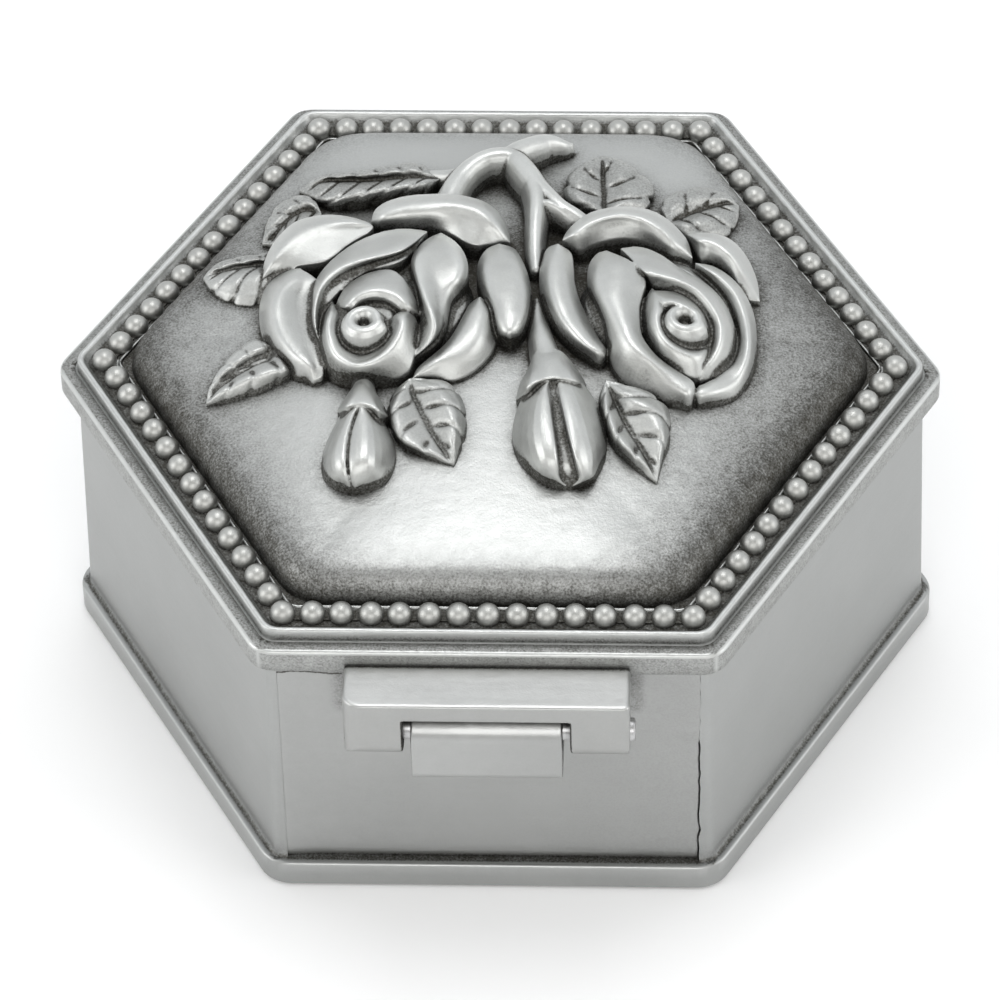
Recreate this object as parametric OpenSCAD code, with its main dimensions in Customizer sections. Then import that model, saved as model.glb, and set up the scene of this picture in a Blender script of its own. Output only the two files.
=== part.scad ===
// Six-sided cast metal keepsake box for a rosary.
// A hinged lid with a beaded border and a spray of roses closes a lined box
// on a moulded plinth. Millimetres, +Z up, origin at the middle of the base,
// hinge wall facing -Y.

/* [Plan] */
// Width of the lid across its flats
lid_flats = 67; // [60:0.5:74]
// Plan radius of the lid's corners
lid_corner_r = 2.4; // [1.5:0.1:3.5]
// How far the walls stand in from the lid's edge at the rim
overhang = 1.45; // [1.2:0.05:1.8]
// How much wider each wall is at its foot than at the rim
wall_draft = 0.5; // [0.2:0.05:0.8]

/* [Box] */
// Height of the rim that the lid closes on
rim_z = 27.55; // [24:0.05:32]
// Height of the plinth
plinth_h = 2.9; // [2:0.1:4]
// Least thickness of the cast walls
wall_t = 1.85; // [1.6:0.05:2.2]
// Top of the cast floor
floor_z = 2.6; // [2.2:0.1:2.8]
// Thickness of the velvet on the walls
velvet_t = 0.7; // [0.5:0.1:1]
// Thickness of the padded velvet on the floor
floor_pad_t = 1.4; // [1:0.1:3]
// How far the felt stands below the plinth
felt_proud = 0.15; // [0.1:0.05:0.3]

/* [Lid] */
// Height of the lid's edge
skirt_h = 2.45; // [2:0.05:3.5]
// Height of the ridge above the lid's ledge
ridge_h = 1.1; // [0.8:0.05:1.4]
// Height of the dome's apex above the ledge
dome_h = 6.05; // [5.2:0.05:8]
// Radius of the dome's shoulder
shoulder_r = 3; // [2.4:0.1:3.4]
// Radius of one bead
bead_r = 1.03; // [0.8:0.01:1.1]
// Beads along one side, corner to corner
beads_per_side = 14; // [10:1:15]

/* [Hinge] */
// Radius of the hinge pin
pin_r = 1; // [0.8:0.05:1.2]
// Gap around the pin in the lug
pin_gap = 0.05; // [0.02:0.01:0.09]
// Height of the pin
pin_z = 23.75; // [23:0.05:24.2]
// Distance of the pin from the lid's edge
pin_out = 2.6; // [2.4:0.05:3]
// Width of the lug
lug_w = 12.7; // [10:0.1:13]
// Width of the bracket over both ears
bracket_w = 24; // [20:0.5:28]
// Width of each ear
ear_w = 5; // [4:0.1:5.2]
// How far the lid opens, drawn closed at 0
lid_open = 0; // [0:1:105]

/* [Rose spray] */
// Height of the roses above the dome
rose_h = 4.6; // [3.5:0.1:6]
// Height of the leaves above the dome
leaf_h = 1.1; // [0.8:0.1:2]

/* [Hidden] */
$fn = 48;

lid_ap = lid_flats / 2;
wall_ap = lid_ap - overhang;
foot_ap = wall_ap + wall_draft;
inner_ap = wall_ap - wall_t;
ledge_z = rim_z + skirt_h;
plate_half = foot_ap / cos(30) / 2 - 1;
plate_in = wall_ap - 0.85;
pin_y = -(lid_ap + pin_out);
ear_r = pin_r + 1.1;
lug_r = pin_r + 1;
bracket_front = pin_y - ear_r;
bracket_top = rim_z + 0.95;
bracket_under = bracket_top - 1.9;
bead_ap = lid_ap - 3.75;
bead_z = ledge_z + 0.75;
channel_z = ledge_z + 0.45;

// Cushion dome: every section across two flats is a flat arc between two
// round shoulders.
dome_ap = lid_ap - 5.1;
dome_base = ledge_z + 0.4;
dome_a = 12;
// The crown is polished flat by this much where its sections meet.
apex_flat = 0.03;
dome_xs = dome_ap - shoulder_r;
dome_xt = dome_xs + shoulder_r * sin(dome_a);
dome_zt = dome_base + shoulder_r * cos(dome_a);
apex_z = ledge_z + dome_h;
dome_rc = (dome_xt * dome_xt + pow(apex_z - dome_zt, 2)) / (2 * (apex_z - dome_zt));
function arc_z(x) = apex_z - dome_rc + sqrt(dome_rc * dome_rc - x * x);
function shoulder_z(x) = dome_base + sqrt(max(0, shoulder_r * shoulder_r - pow(x - dome_xs, 2)));
function section_z(x) = x < dome_xt ? arc_z(x) : shoulder_z(min(x, dome_ap));
function out_from(x, y) = max([abs(y), abs(x * cos(30) + y / 2), abs(x * cos(30) - y / 2)]);
function dome_z(x, y) = section_z(out_from(x, y));

// Rounded hexagon with two of its flats facing -Y and +Y.
module hex2d(ap, r) {
    c = (ap - r) / cos(30);
    union() {
        polygon([for (i = [0:5]) for (s = [-30, 30])
            [c * cos(60 * i) + r * cos(60 * i + s), c * sin(60 * i) + r * sin(60 * i + s)]]);
        for (i = [0:5]) translate([c * cos(60 * i), c * sin(60 * i)]) circle(r = r, $fn = 64);
    }
}
module hexprism(ap, r, z0, z1) {
    translate([0, 0, z0]) linear_extrude(height = z1 - z0) hex2d(ap, r);
}

// Six drafted walls: three slabs with leaning sides, crossed.
module wall_block(grow) {
    intersection_for(i = [0:2])
        rotate([0, 0, 60 * i]) rotate([90, 0, 90]) translate([0, 0, -60])
            linear_extrude(height = 120)
                polygon([[-foot_ap - grow, plinth_h - 0.4], [foot_ap + grow, plinth_h - 0.4],
                         [wall_ap + grow, rim_z], [-wall_ap - grow, rim_z]]);
}

module dome_section(up) {
    intersection() {
        translate([0, apex_z + up - dome_rc]) circle(r = dome_rc, $fn = 360);
        union() {
            translate([-dome_xt, 0]) square([2 * dome_xt, apex_z + up - apex_flat]);
            translate([-dome_ap, 0]) square([2 * dome_ap, dome_base + up]);
            for (s = [-1, 1]) translate([s * dome_xs, dome_base + up]) circle(r = shoulder_r, $fn = 96);
        }
    }
}
// The dome as a solid, raised by up.
module dome_solid(up, floor_at) {
    intersection() {
        intersection_for(i = [0:2])
            rotate([0, 0, 60 * i]) rotate([90, 0, 90]) translate([0, 0, -60])
                linear_extrude(height = 120) dome_section(up);
        hexprism(dome_ap, 2.6, floor_at, apex_z + up + 2);
    }
}
// ---- the box ----
module box_casting() {
    color([0.66, 0.66, 0.64])
    difference() {
        union() {
            hexprism(lid_ap, 3, felt_proud, plinth_h);
            wall_block(0);
        }
        hexprism(inner_ap, 0.9, floor_z, rim_z + 1);
        hexprism(lid_ap - 2, 1.6, -1, felt_proud + 0.6);
        translate([-plate_half, -foot_ap - 2, plinth_h])
            cube([2 * plate_half, foot_ap + 2 - plate_in, rim_z]);
    }
}

// Plate let into the hinge wall, with the lug that the pin turns in.
module lug_section() {
    difference() {
        union() {
            translate([pin_y, pin_z]) circle(r = lug_r, $fn = 96);
            translate([pin_y - lug_r, 20.2]) square([-plate_in - pin_y + lug_r, pin_z - 20.2]);
            translate([pin_y - lug_r + 1.2, 19]) square([-plate_in - pin_y + lug_r - 1.2, 2]);
            translate([pin_y - lug_r + 1.2, 20.2]) circle(r = 1.2, $fn = 48);
            translate([pin_y, 19.5]) square([-plate_in - pin_y, pin_z + 0.85 - 19.5]);
        }
        translate([pin_y, pin_z]) circle(r = pin_r + pin_gap, $fn = 96);
    }
}
module hinge_plate() {
    color([0.62, 0.62, 0.60])
    union() {
        intersection() {
            wall_block(-0.12);
            translate([-plate_half, -foot_ap - 2, plinth_h])
                cube([2 * plate_half, foot_ap + 2 - plate_in, rim_z]);
        }
        translate([-lug_w / 2, 0, 0]) rotate([90, 0, 90]) linear_extrude(height = lug_w) lug_section();
    }
}

module base_felt() {
    color([0.10, 0.10, 0.11]) hexprism(lid_ap - 2.1, 1.5, 0, felt_proud + 0.6);
}
module floor_card() {
    color([0.55, 0.50, 0.42]) hexprism(inner_ap - 0.05, 0.85, floor_z, floor_z + 0.6);
}
module floor_velvet() {
    color([0.05, 0.05, 0.07])
        hexprism(inner_ap - velvet_t - 0.1, 0.6, floor_z + 0.6, floor_z + 0.6 + floor_pad_t);
}
module wall_lining() {
    color([0.06, 0.06, 0.08])
    difference() {
        hexprism(inner_ap - 0.02, 0.88, floor_z + 0.6, rim_z - 0.9);
        hexprism(inner_ap - velvet_t, 0.7, floor_z, rim_z);
    }
}

// ---- the lid ----
module lid_casting() {
    color([0.66, 0.66, 0.64])
    difference() {
        union() {
            hexprism(lid_ap, lid_corner_r, rim_z, ledge_z);
            difference() {
                hexprism(lid_ap - 1.4, 1.7, ledge_z - 0.2, ledge_z + ridge_h);
                hexprism(lid_ap - 2, 1.5, channel_z, ledge_z + 3);
            }
            difference() {
                hexprism(lid_ap - 4.65, 1.2, ledge_z, ledge_z + 0.65);
                hexprism(lid_ap - 4.9, 1.1, ledge_z + 0.35, ledge_z + 3);
            }
            dome_solid(0, ledge_z - 0.3);
        }
        hexprism(lid_ap - 3.9, 1, rim_z - 1, rim_z + 1.45);
        intersection() {
            translate([0, 0, -1.6]) dome_solid(0, rim_z + 2);
            hexprism(dome_ap - 1.6, 2, rim_z, apex_z);
        }
    }
}

module bead_border() {
    side = 2 * bead_ap / cos(30) / 2;
    color([0.70, 0.70, 0.68])
    difference() {
        intersection() {
            union() {
                difference() {
                    hexprism(bead_ap + 0.6, 0.9, channel_z, channel_z + 0.2);
                    hexprism(bead_ap - 0.6, 0.7, ledge_z, ledge_z + 4);
                }
                for (i = [0:5]) rotate([0, 0, 60 * i])
                    for (j = [0:beads_per_side - 1])
                        translate([-side / 2 + j * side / beads_per_side, -bead_ap, bead_z])
                            sphere(r = bead_r, $fn = 32);
            }
            translate([-50, -50, channel_z]) cube([100, 100, 10]);
        }
        // clear of the fine line inside the beads
        hexprism(lid_ap - 4.64, 1.2, ledge_z, ledge_z + 0.66);
    }
}

// Bracket on the lid's edge: a flat bar with an ear at each end.
module bracket_section() {
    difference() {
        union() {
            translate([bracket_front, bracket_under]) square([-lid_ap - bracket_front, bracket_top - bracket_under]);
            translate([bracket_front, pin_z]) square([2 * ear_r, bracket_under - pin_z + 0.2]);
            translate([pin_y, pin_z]) circle(r = ear_r, $fn = 96);
        }
        translate([pin_y, pin_z]) circle(r = pin_r - 0.01, $fn = 96);
    }
}
module hinge_bracket() {
    color([0.68, 0.68, 0.66])
    intersection() {
        difference() {
            translate([-bracket_w / 2, 0, 0]) rotate([90, 0, 90]) linear_extrude(height = bracket_w) bracket_section();
            translate([-bracket_w / 2 + ear_w, bracket_front - 1, pin_z - 4])
                cube([bracket_w - 2 * ear_w, 8, bracket_under - pin_z + 4]);
        }
        translate([0, 0, pin_z - 5]) linear_extrude(height = 12) union() {
            translate([-bracket_w / 2, bracket_front + 1.5]) square([bracket_w, 5]);
            translate([-bracket_w / 2 + 1.5, bracket_front]) square([bracket_w - 1.9, 3]);
            translate([-bracket_w / 2 + 1.5, bracket_front + 1.5]) circle(r = 1.5, $fn = 48);
            translate([bracket_w / 2 - 0.4, bracket_front + 0.4]) circle(r = 0.4, $fn = 32);
            translate([bracket_w / 2 - 1, bracket_front + 0.4]) square([1, 3]);
        }
    }
}
module hinge_pin() {
    color([0.75, 0.75, 0.76])
    translate([-bracket_w / 2 + 0.1, pin_y, pin_z]) rotate([0, 90, 0]) cylinder(h = bracket_w + 0.35, r = pin_r, $fn = 96);
}

module lid_card() {
    color([0.55, 0.50, 0.42]) hexprism(lid_ap - 4, 0.9, rim_z + 0.75, rim_z + 1.45);
}
module lid_velvet() {
    color([0.05, 0.05, 0.07]) hexprism(lid_ap - 4, 0.9, rim_z + 0.05, rim_z + 0.75);
}

// ---- the rose spray ----
function above(x, y, t) = [x, y, dome_z(x, y) + t];
function polar(c, r, a) = [c[0] + r * cos(a), c[1] + r * sin(a)];
module knob(x, y, t, r, n) { translate(above(x, y, t)) sphere(r = r, $fn = n); }

// One petal: a plump blade from the heart c out to radius r, its rim t high
// and turned up towards the middle, spanning w either side of heading a.
module petal(c, r, a, w, t, fat) {
    rim = polar(c, r - fat, a);
    l = polar(c, (r - fat) * 0.86, a - w);
    m = polar(c, (r - fat) * 0.86, a + w);
    in = polar(c, r * 0.25, a);
    hull() {
        knob(rim[0], rim[1], t - fat, fat, 10);
        knob(l[0], l[1], t - fat * 0.9, fat * 0.8, 10);
        knob(m[0], m[1], t - fat * 0.9, fat * 0.8, 10);
        knob(in[0], in[1], t * 0.4, fat, 10);
    }
}
// Open rose: petals step up from the outer ring to the curled heart at e.
module rose_form(c, e, r, turn) {
    difference() {
        union() {
            for (i = [0:5]) petal(c, r, turn + 60 * i, 24, rose_h * 0.5, 1.1);
            for (i = [0:4]) petal((c * 2 + e) / 3, r * 0.74, turn + 30 + 72 * i, 30, rose_h * 0.74, 0.95);
            for (i = [0:3]) petal((c + e * 2) / 3, r * 0.5, turn + 10 + 90 * i, 36, rose_h * 0.9, 0.8);
            hull() {
                knob(e[0], e[1], 0, r * 0.3, 16);
                knob(e[0], e[1], rose_h - r * 0.16, r * 0.16, 16);
            }
        }
        translate(above(e[0], e[1], rose_h - 0.9)) cylinder(h = 3, r = 0.6, $fn = 16);
    }
}
left_c = [-8.9, 2.4];
left_e = [-10.6, -2.8];
left_r = 10.9;
right_c = [13.3, 1.4];
right_e = [15.2, -2.6];
right_r = 9.7;
module rose_left_form() rose_form(left_c, left_e, left_r, 10);
module rose_right_form() rose_form(right_c, right_e, right_r, 40);

// A closed bud with its tip towards -Y: two wrapped petals, a collar of
// sepals and a short neck.
module bud_form(x, y, w) {
    for (s = [-1, 1]) hull() {
        knob(x + s * w * 0.3, y, 0.7, w * 0.72, 14);
        knob(x + s * w * 0.22, y - w * 0.8, 0.2, w * 0.5, 14);
        knob(x + s * w * 0.1, y + w * 0.8, 0.6, w * 0.5, 14);
    }
    for (s = [-1, -0.35, 0.35, 1]) hull() {
        knob(x, y + w * 1.15, 1, w * 0.4, 10);
        knob(x + s * w * 0.62, y + w * 0.25, 1.7 - abs(s) * 0.6, 0.5, 8);
    }
    hull() {
        knob(x, y + w * 1.15, 0.8, w * 0.42, 12);
        knob(x, y + w * 1.7, 0.8, w * 0.3, 12);
    }
    hull() {
        knob(x, y + w * 1.7, 0.8, w * 0.3, 12);
        knob(x, y + w * 2.2, 0.6, w * 0.24, 12);
    }
}
module bud_left_form() bud_form(-11.4, -15.2, 3.2);
module bud_right_form() bud_form(5.5, -14.2, 3.3);

// A leaf of length l and half width w from (x, y) along heading a: two
// blades folded on a raised midrib.
module leaf_form(x, y, a, l, w) {
    b = [x, y];
    tip = polar(b, l, a);
    mid = polar(b, l * 0.42, a);
    far = polar(b, l * 0.72, a);
    for (s = [-1, 1]) {
        q = polar(mid, w, a + s * 90);
        p = polar(far, w * 0.72, a + s * 90);
        hull() {
            knob(b[0], b[1], 0, 0.5, 8);
            knob(tip[0], tip[1], 0, 0.4, 8);
            knob(q[0], q[1], leaf_h - 0.5, 0.5, 8);
            knob(p[0], p[1], leaf_h - 0.6, 0.45, 8);
        }
    }
    hull() {
        knob(b[0], b[1], leaf_h - 0.5, 0.5, 8);
        knob(tip[0], tip[1], leaf_h - 0.6, 0.3, 8);
        knob(mid[0], mid[1], 0, 0.6, 8);
    }
}
// Foot, heading, length and half width of each leaf
LEAVES = [[-17.4, -3.8, 212, 8.2, 2.4], [-19.0, 4.4, 168, 6.6, 2.3],
          [-17.0, 12.4, 210, 5.4, 1.8], [-6.4, 17.6, 178, 11.4, 2.2],
          [-8.4, -7.6, 298, 9.6, 3.0], [8.8, -6.8, 300, 11.0, 3.0],
          [8.2, 11.6, 84, 9.6, 3.2], [14.6, 11.6, 34, 7.8, 2.8]];
module leaf_forms() for (v = LEAVES) leaf_form(v[0], v[1], v[2], v[3], v[4]);

module limb(p, q, r0, r1) {
    hull() {
        translate(p) sphere(r = r0, $fn = 14);
        translate(q) sphere(r = r1, $fn = 14);
    }
}
module branch_form() {
    limb(above(6.2, 23.8, 0.1), above(3.6, 22.2, 0.6), 0.9, 1.2);
    limb(above(3.6, 22.2, 0.6), above(0.8, 20.2, 1.1), 1.2, 1.3);
    limb(above(0.8, 20.2, 1.1), above(-2.2, 18.4, 1.6), 1.3, 1.2);
    limb(above(-2.2, 18.4, 1.6), above(-4.4, 16.2, 1.6), 1.2, 1.0);
    limb(above(-4.4, 16.2, 1.6), above(-5.4, 13.6, 1.2), 1.0, 0.9);
    limb(above(-0.4, 18.6, 1.5), above(1.8, 16.2, 1.8), 1.2, 1.1);
    limb(above(1.8, 16.2, 1.8), above(3.2, 13.2, 1.6), 1.1, 1.0);
    limb(above(3.2, 13.2, 1.6), above(3.4, 8.6, 1.0), 1.0, 0.8);
    limb(above(3.0, 14.2, 1.5), above(7.2, 12.8, 1.1), 1.0, 0.8);
}

// What the spray is soldered to
module seat() { translate([0, 0, 0.012]) dome_solid(0, ledge_z); }

module rose_left() { color([0.72, 0.72, 0.70]) difference() { rose_left_form(); seat(); } }
module rose_right() { color([0.72, 0.72, 0.70]) difference() { rose_right_form(); seat(); } }
module rosebud_left() {
    color([0.70, 0.70, 0.68]) difference() { bud_left_form(); seat(); rose_left_form(); }
}
module rosebud_right() {
    color([0.70, 0.70, 0.68]) difference() { bud_right_form(); seat(); rose_right_form(); rose_left_form(); }
}
module rose_leaves() {
    color([0.64, 0.64, 0.62]) difference() {
        leaf_forms();
        seat();
        rose_left_form();
        rose_right_form();
        bud_left_form();
        bud_right_form();
    }
}
module rose_branch() {
    color([0.60, 0.60, 0.58]) difference() {
        branch_form();
        seat();
        rose_left_form();
        rose_right_form();
        leaf_forms();
    }
}

module lid_pose() {
    translate([0, pin_y, pin_z]) rotate([lid_open, 0, 0]) translate([0, -pin_y, -pin_z]) children();
}

box_casting();
hinge_plate();
base_felt();
floor_card();
floor_velvet();
wall_lining();
lid_pose() lid_casting();
lid_pose() bead_border();
lid_pose() hinge_bracket();
lid_pose() hinge_pin();
lid_pose() lid_card();
lid_pose() lid_velvet();
lid_pose() rose_left();
lid_pose() rose_right();
lid_pose() rosebud_left();
lid_pose() rosebud_right();
lid_pose() rose_leaves();
lid_pose() rose_branch();
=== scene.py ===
import math

import bmesh
import bpy
import numpy as np
from mathutils import Matrix, Vector


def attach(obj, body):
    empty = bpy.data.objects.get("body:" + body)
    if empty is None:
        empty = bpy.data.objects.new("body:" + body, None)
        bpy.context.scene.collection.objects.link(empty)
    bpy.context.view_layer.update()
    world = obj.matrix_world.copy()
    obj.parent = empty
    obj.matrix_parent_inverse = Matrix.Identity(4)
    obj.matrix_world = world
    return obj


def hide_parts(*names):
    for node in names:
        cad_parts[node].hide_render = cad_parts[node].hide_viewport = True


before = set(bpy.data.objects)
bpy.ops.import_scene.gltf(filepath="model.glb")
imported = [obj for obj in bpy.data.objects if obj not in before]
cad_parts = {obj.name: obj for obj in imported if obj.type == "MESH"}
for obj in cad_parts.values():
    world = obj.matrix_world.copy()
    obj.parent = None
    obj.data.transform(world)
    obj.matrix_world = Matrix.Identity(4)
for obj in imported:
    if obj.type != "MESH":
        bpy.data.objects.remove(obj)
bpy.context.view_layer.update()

MM = 0.001
SC = bpy.context.scene
rng = np.random.default_rng(11)


# ---------------------------------------------------------------- camera
def make_camera():
    el, az, roll = math.radians(46.14977713768275), math.radians(2.9437659987142766), math.radians(-1.5926023049089524)
    back = Vector((math.sin(az) * math.cos(el), -math.cos(az) * math.cos(el), math.sin(el)))
    right = Vector((math.cos(az), math.sin(az), 0.0))
    up = back.cross(right)
    cx = right * math.cos(roll) + up * math.sin(roll)
    cy = -right * math.sin(roll) + up * math.cos(roll)
    data = bpy.data.cameras.new("camera")
    data.sensor_fit = "HORIZONTAL"
    data.sensor_width = 36.0
    data.lens = 36.0 * 6235.144154566747 / 1000.0
    data.clip_start = 0.02
    data.clip_end = 20.0
    data.dof.use_dof = False
    cam = bpy.data.objects.new("camera", data)
    SC.collection.objects.link(cam)
    m = Matrix((
        (cx.x, cy.x, back.x, 0.01947989902),
        (cx.y, cy.y, back.y, -0.38352802968),
        (cx.z, cy.z, back.z, 0.41344291228),
        (0, 0, 0, 1)))
    cam.matrix_world = m
    SC.camera = cam


make_camera()


# ---------------------------------------------------------------- shapes of the metalwork, in millimetres
LID_AP, WALL_AP, FOOT_AP, INNER_AP = 33.5, 32.05, 32.55, 30.2
PLINTH_H, FLOOR_Z, RIM_Z, LEDGE_Z, CHANNEL_Z = 2.9, 2.6, 27.55, 30.0, 30.45
PIN_Y, PIN_Z = -36.1, 23.75
BEAD_AP, BEAD_Z, BEAD_R = 29.75, 30.75, 1.09
ZB, FOOT, RS, ANG = 30.4, 28.4, 3.0, math.radians(12)
XS = FOOT - RS
XT = XS + RS * math.sin(ANG)
ZT = ZB + RS * math.cos(ANG)
APEX = 36.05
RC = (XT * XT + (APEX - ZT) ** 2) / (2 * (APEX - ZT))


def prof(s):
    s = np.abs(s)
    z = np.where(s <= XT, APEX - RC + np.sqrt(np.maximum(RC * RC - s * s, 0)),
                 ZB + np.sqrt(np.maximum(RS * RS - (s - XS) ** 2, 0)))
    return np.where(s > FOOT, 30.0, z)


def sides(x, y):
    c = math.cos(math.pi / 6)
    return np.array([np.abs(y), np.abs(x * c + y * 0.5), np.abs(x * c - y * 0.5)])


def gauge(x, y):
    n = sides(x, y)
    m = n.max(0) + 1e-9
    q = 2 + 30 * np.clip(m / FOOT, 0, 1) ** 7
    return m * ((n / m) ** q).sum(0) ** (1 / q) / (1 + 2 * 0.5 ** q) ** (1 / q)


def dome(x, y):
    return prof(gauge(x, y))


def hexring(ap, r, arc=9, flat=8):
    """Points of a hexagon with apothem ap and rounded corners; two flats face -Y and +Y."""
    c = (ap - r) / math.cos(math.pi / 6)
    pts = []
    for i in range(6):
        a0 = math.radians(60 * i - 120)
        for k in range(arc):
            a = a0 + math.radians(-30 + 60 * k / (arc - 1))
            pts.append((c * math.cos(a0) + r * math.cos(a), c * math.sin(a0) + r * math.sin(a)))
        a1 = a0 + math.radians(60)
        p = np.array(pts[-1])
        q = np.array((c * math.cos(a1) + r * math.cos(a1 - math.radians(30)),
                      c * math.sin(a1) + r * math.sin(a1 - math.radians(30))))
        for k in range(1, flat + 1):
            pts.append(tuple(p + (q - p) * k / (flat + 1)))
    return np.array(pts)


def dome_ring(s, like):
    """The ring where the dome's gauge is s, along the directions of the ring like."""
    d = like / np.linalg.norm(like, axis=1)[:, None]
    r = np.full(len(d), s)
    for _ in range(12):
        r = r * s / gauge(d[:, 0] * r, d[:, 1] * r)
    return d * r[:, None]


def new_mesh(name, verts, faces, smooth=True):
    """verts in mm; faces is an (n, 3) or (n, 4) array, or a list of tuples."""
    me = bpy.data.meshes.new(name)
    verts = np.asarray(verts, float) * MM
    if isinstance(faces, np.ndarray):
        k = faces.shape[1]
        me.vertices.add(len(verts))
        me.vertices.foreach_set("co", verts.astype(np.float32).ravel())
        me.loops.add(faces.size)
        me.loops.foreach_set("vertex_index", faces.astype(np.int32).ravel())
        me.polygons.add(len(faces))
        me.polygons.foreach_set("loop_start", np.arange(0, faces.size, k, dtype=np.int32))
        me.polygons.foreach_set("loop_total", np.full(len(faces), k, dtype=np.int32))
        me.update(calc_edges=True)
    else:
        me.from_pydata([tuple(v) for v in verts], [], faces)
    me.validate()
    if smooth:
        me.polygons.foreach_set("use_smooth", np.ones(len(me.polygons), bool))
    me.update()
    ob = bpy.data.objects.new(name, me)
    SC.collection.objects.link(ob)
    return ob


def loft(rings, closed_loop=True):
    """Quads between successive rings of equal length. The first and last rings may be a single point."""
    verts, faces, start = [], [], []
    for r in rings:
        start.append(sum(len(v) for v in verts))
        verts.append(np.atleast_2d(r))
    for a, b, sa, sb in zip(verts[:-1], verts[1:], start[:-1], start[1:]):
        n = max(len(a), len(b))
        for i in range(n):
            j = (i + 1) % n
            if len(a) == 1:
                faces.append((sa, sb + j, sb + i))
            elif len(b) == 1:
                faces.append((sa + i, sa + j, sb))
            else:
                faces.append((sa + i, sa + j, sb + j, sb + i))
    return np.vstack(verts), faces


def lathe_hex(name, profile, arc=9, flat=8, smooth=True):
    """profile is [(apothem, corner radius, z)], from one end of the closed body to the other; apothem 0 is the axis."""
    rings = []
    for ap, r, z in profile:
        if ap == 0:
            rings.append(np.array([[0.0, 0.0, z]]))
        else:
            p = hexring(ap, r, arc, flat)
            rings.append(np.c_[p, np.full(len(p), z)])
    v, f = loft(rings)
    return new_mesh(name, v, f, smooth)


def fix_normals(ob):
    bm = bmesh.new()
    bm.from_mesh(ob.data)
    bmesh.ops.remove_doubles(bm, verts=bm.verts, dist=1e-7)
    bmesh.ops.recalc_face_normals(bm, faces=bm.faces)
    bm.to_mesh(ob.data)
    bm.free()


def apply_modifiers(ob):
    dg = bpy.context.evaluated_depsgraph_get()
    dg.update()
    me = bpy.data.meshes.new_from_object(ob.evaluated_get(dg))
    ob.modifiers.clear()
    old = ob.data
    ob.data = me
    bpy.data.meshes.remove(old)


def shade(ob, angle=35):
    """Smooth shading that keeps edges sharper than angle."""
    me = ob.data
    me.polygons.foreach_set("use_smooth", np.ones(len(me.polygons), bool))
    bm = bmesh.new()
    bm.from_mesh(me)
    lim = math.radians(angle)
    for e in bm.edges:
        e.smooth = not (len(e.link_faces) == 2 and e.calc_face_angle(0) > lim)
    bm.to_mesh(me)
    bm.free()


def boolean(ob, cutter, op="DIFFERENCE"):
    m = ob.modifiers.new("cut", "BOOLEAN")
    m.operation = op
    m.object = cutter
    m.solver = "EXACT"
    apply_modifiers(ob)
    bpy.data.objects.remove(cutter)


def bevel(ob, width, segments=3, angle=35):
    m = ob.modifiers.new("bevel", "BEVEL")
    m.width = width * MM
    m.segments = segments
    m.limit_method = "ANGLE"
    m.angle_limit = math.radians(angle)
    m.use_clamp_overlap = True
    m.harden_normals = False
    apply_modifiers(ob)


def extrude_x(name, section, x0, x1):
    """A closed (y, z) outline extruded along X."""
    s = np.asarray(section, float)
    n = len(s)
    v = np.vstack([np.c_[np.full(n, x0), s], np.c_[np.full(n, x1), s]])
    f = [tuple(range(n))[::-1], tuple(range(n, 2 * n))]
    f += [(i, (i + 1) % n, n + (i + 1) % n, n + i) for i in range(n)]
    ob = new_mesh(name, v, f, False)
    fix_normals(ob)
    return ob


def extrude_z(name, outline, z0, z1):
    s = np.asarray(outline, float)
    n = len(s)
    v = np.vstack([np.c_[s, np.full(n, z0)], np.c_[s, np.full(n, z1)]])
    f = [tuple(range(n))[::-1], tuple(range(n, 2 * n))]
    f += [(i, (i + 1) % n, n + (i + 1) % n, n + i) for i in range(n)]
    ob = new_mesh(name, v, f, False)
    fix_normals(ob)
    return ob


def arc_pts(cx, cy, r, a0, a1, n):
    a = np.radians(np.linspace(a0, a1, n))
    return [(cx + r * math.cos(t), cy + r * math.sin(t)) for t in a]


# ---------------------------------------------------------------- materials
def nodes_of(name):
    mat = bpy.data.materials.new(name)
    mat.use_nodes = True
    nt = mat.node_tree
    nt.nodes.clear()
    out = nt.nodes.new("ShaderNodeOutputMaterial")
    bsdf = nt.nodes.new("ShaderNodeBsdfPrincipled")
    nt.links.new(bsdf.outputs[0], out.inputs[0])
    return mat, nt, bsdf


def node(nt, kind, **k):
    n = nt.nodes.new(kind)
    for a, b in k.items():
        setattr(n, a, b)
    return n


def coords(nt, scale=(1, 1, 1), rot=(0, 0, 0)):
    tc = node(nt, "ShaderNodeTexCoord")
    mp = node(nt, "ShaderNodeMapping")
    mp.inputs["Scale"].default_value = scale
    mp.inputs["Rotation"].default_value = rot
    nt.links.new(tc.outputs["Object"], mp.inputs["Vector"])
    return mp.outputs["Vector"]


def noise(nt, vec, scale, detail=3.0, rough=0.55):
    n = node(nt, "ShaderNodeTexNoise")
    n.inputs["Scale"].default_value = scale
    n.inputs["Detail"].default_value = detail
    n.inputs["Roughness"].default_value = rough
    nt.links.new(vec, n.inputs["Vector"])
    return n.outputs["Fac"]


def math_(nt, op, a, b=None, c=None, clamp=False):
    n = node(nt, "ShaderNodeMath", operation=op, use_clamp=clamp)
    for i, x in enumerate((a, b, c)):
        if x is None:
            continue
        if isinstance(x, (int, float)):
            n.inputs[i].default_value = x
        else:
            nt.links.new(x, n.inputs[i])
    return n.outputs[0]


def ramp(nt, fac, stops):
    n = node(nt, "ShaderNodeValToRGB")
    cr = n.color_ramp
    while len(cr.elements) < len(stops):
        cr.elements.new(0.5)
    for e, (p, c) in zip(cr.elements, stops):
        e.position = p
        e.color = (*c, 1) if len(c) == 3 else c
    nt.links.new(fac, n.inputs["Fac"])
    return n.outputs["Color"]


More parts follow.
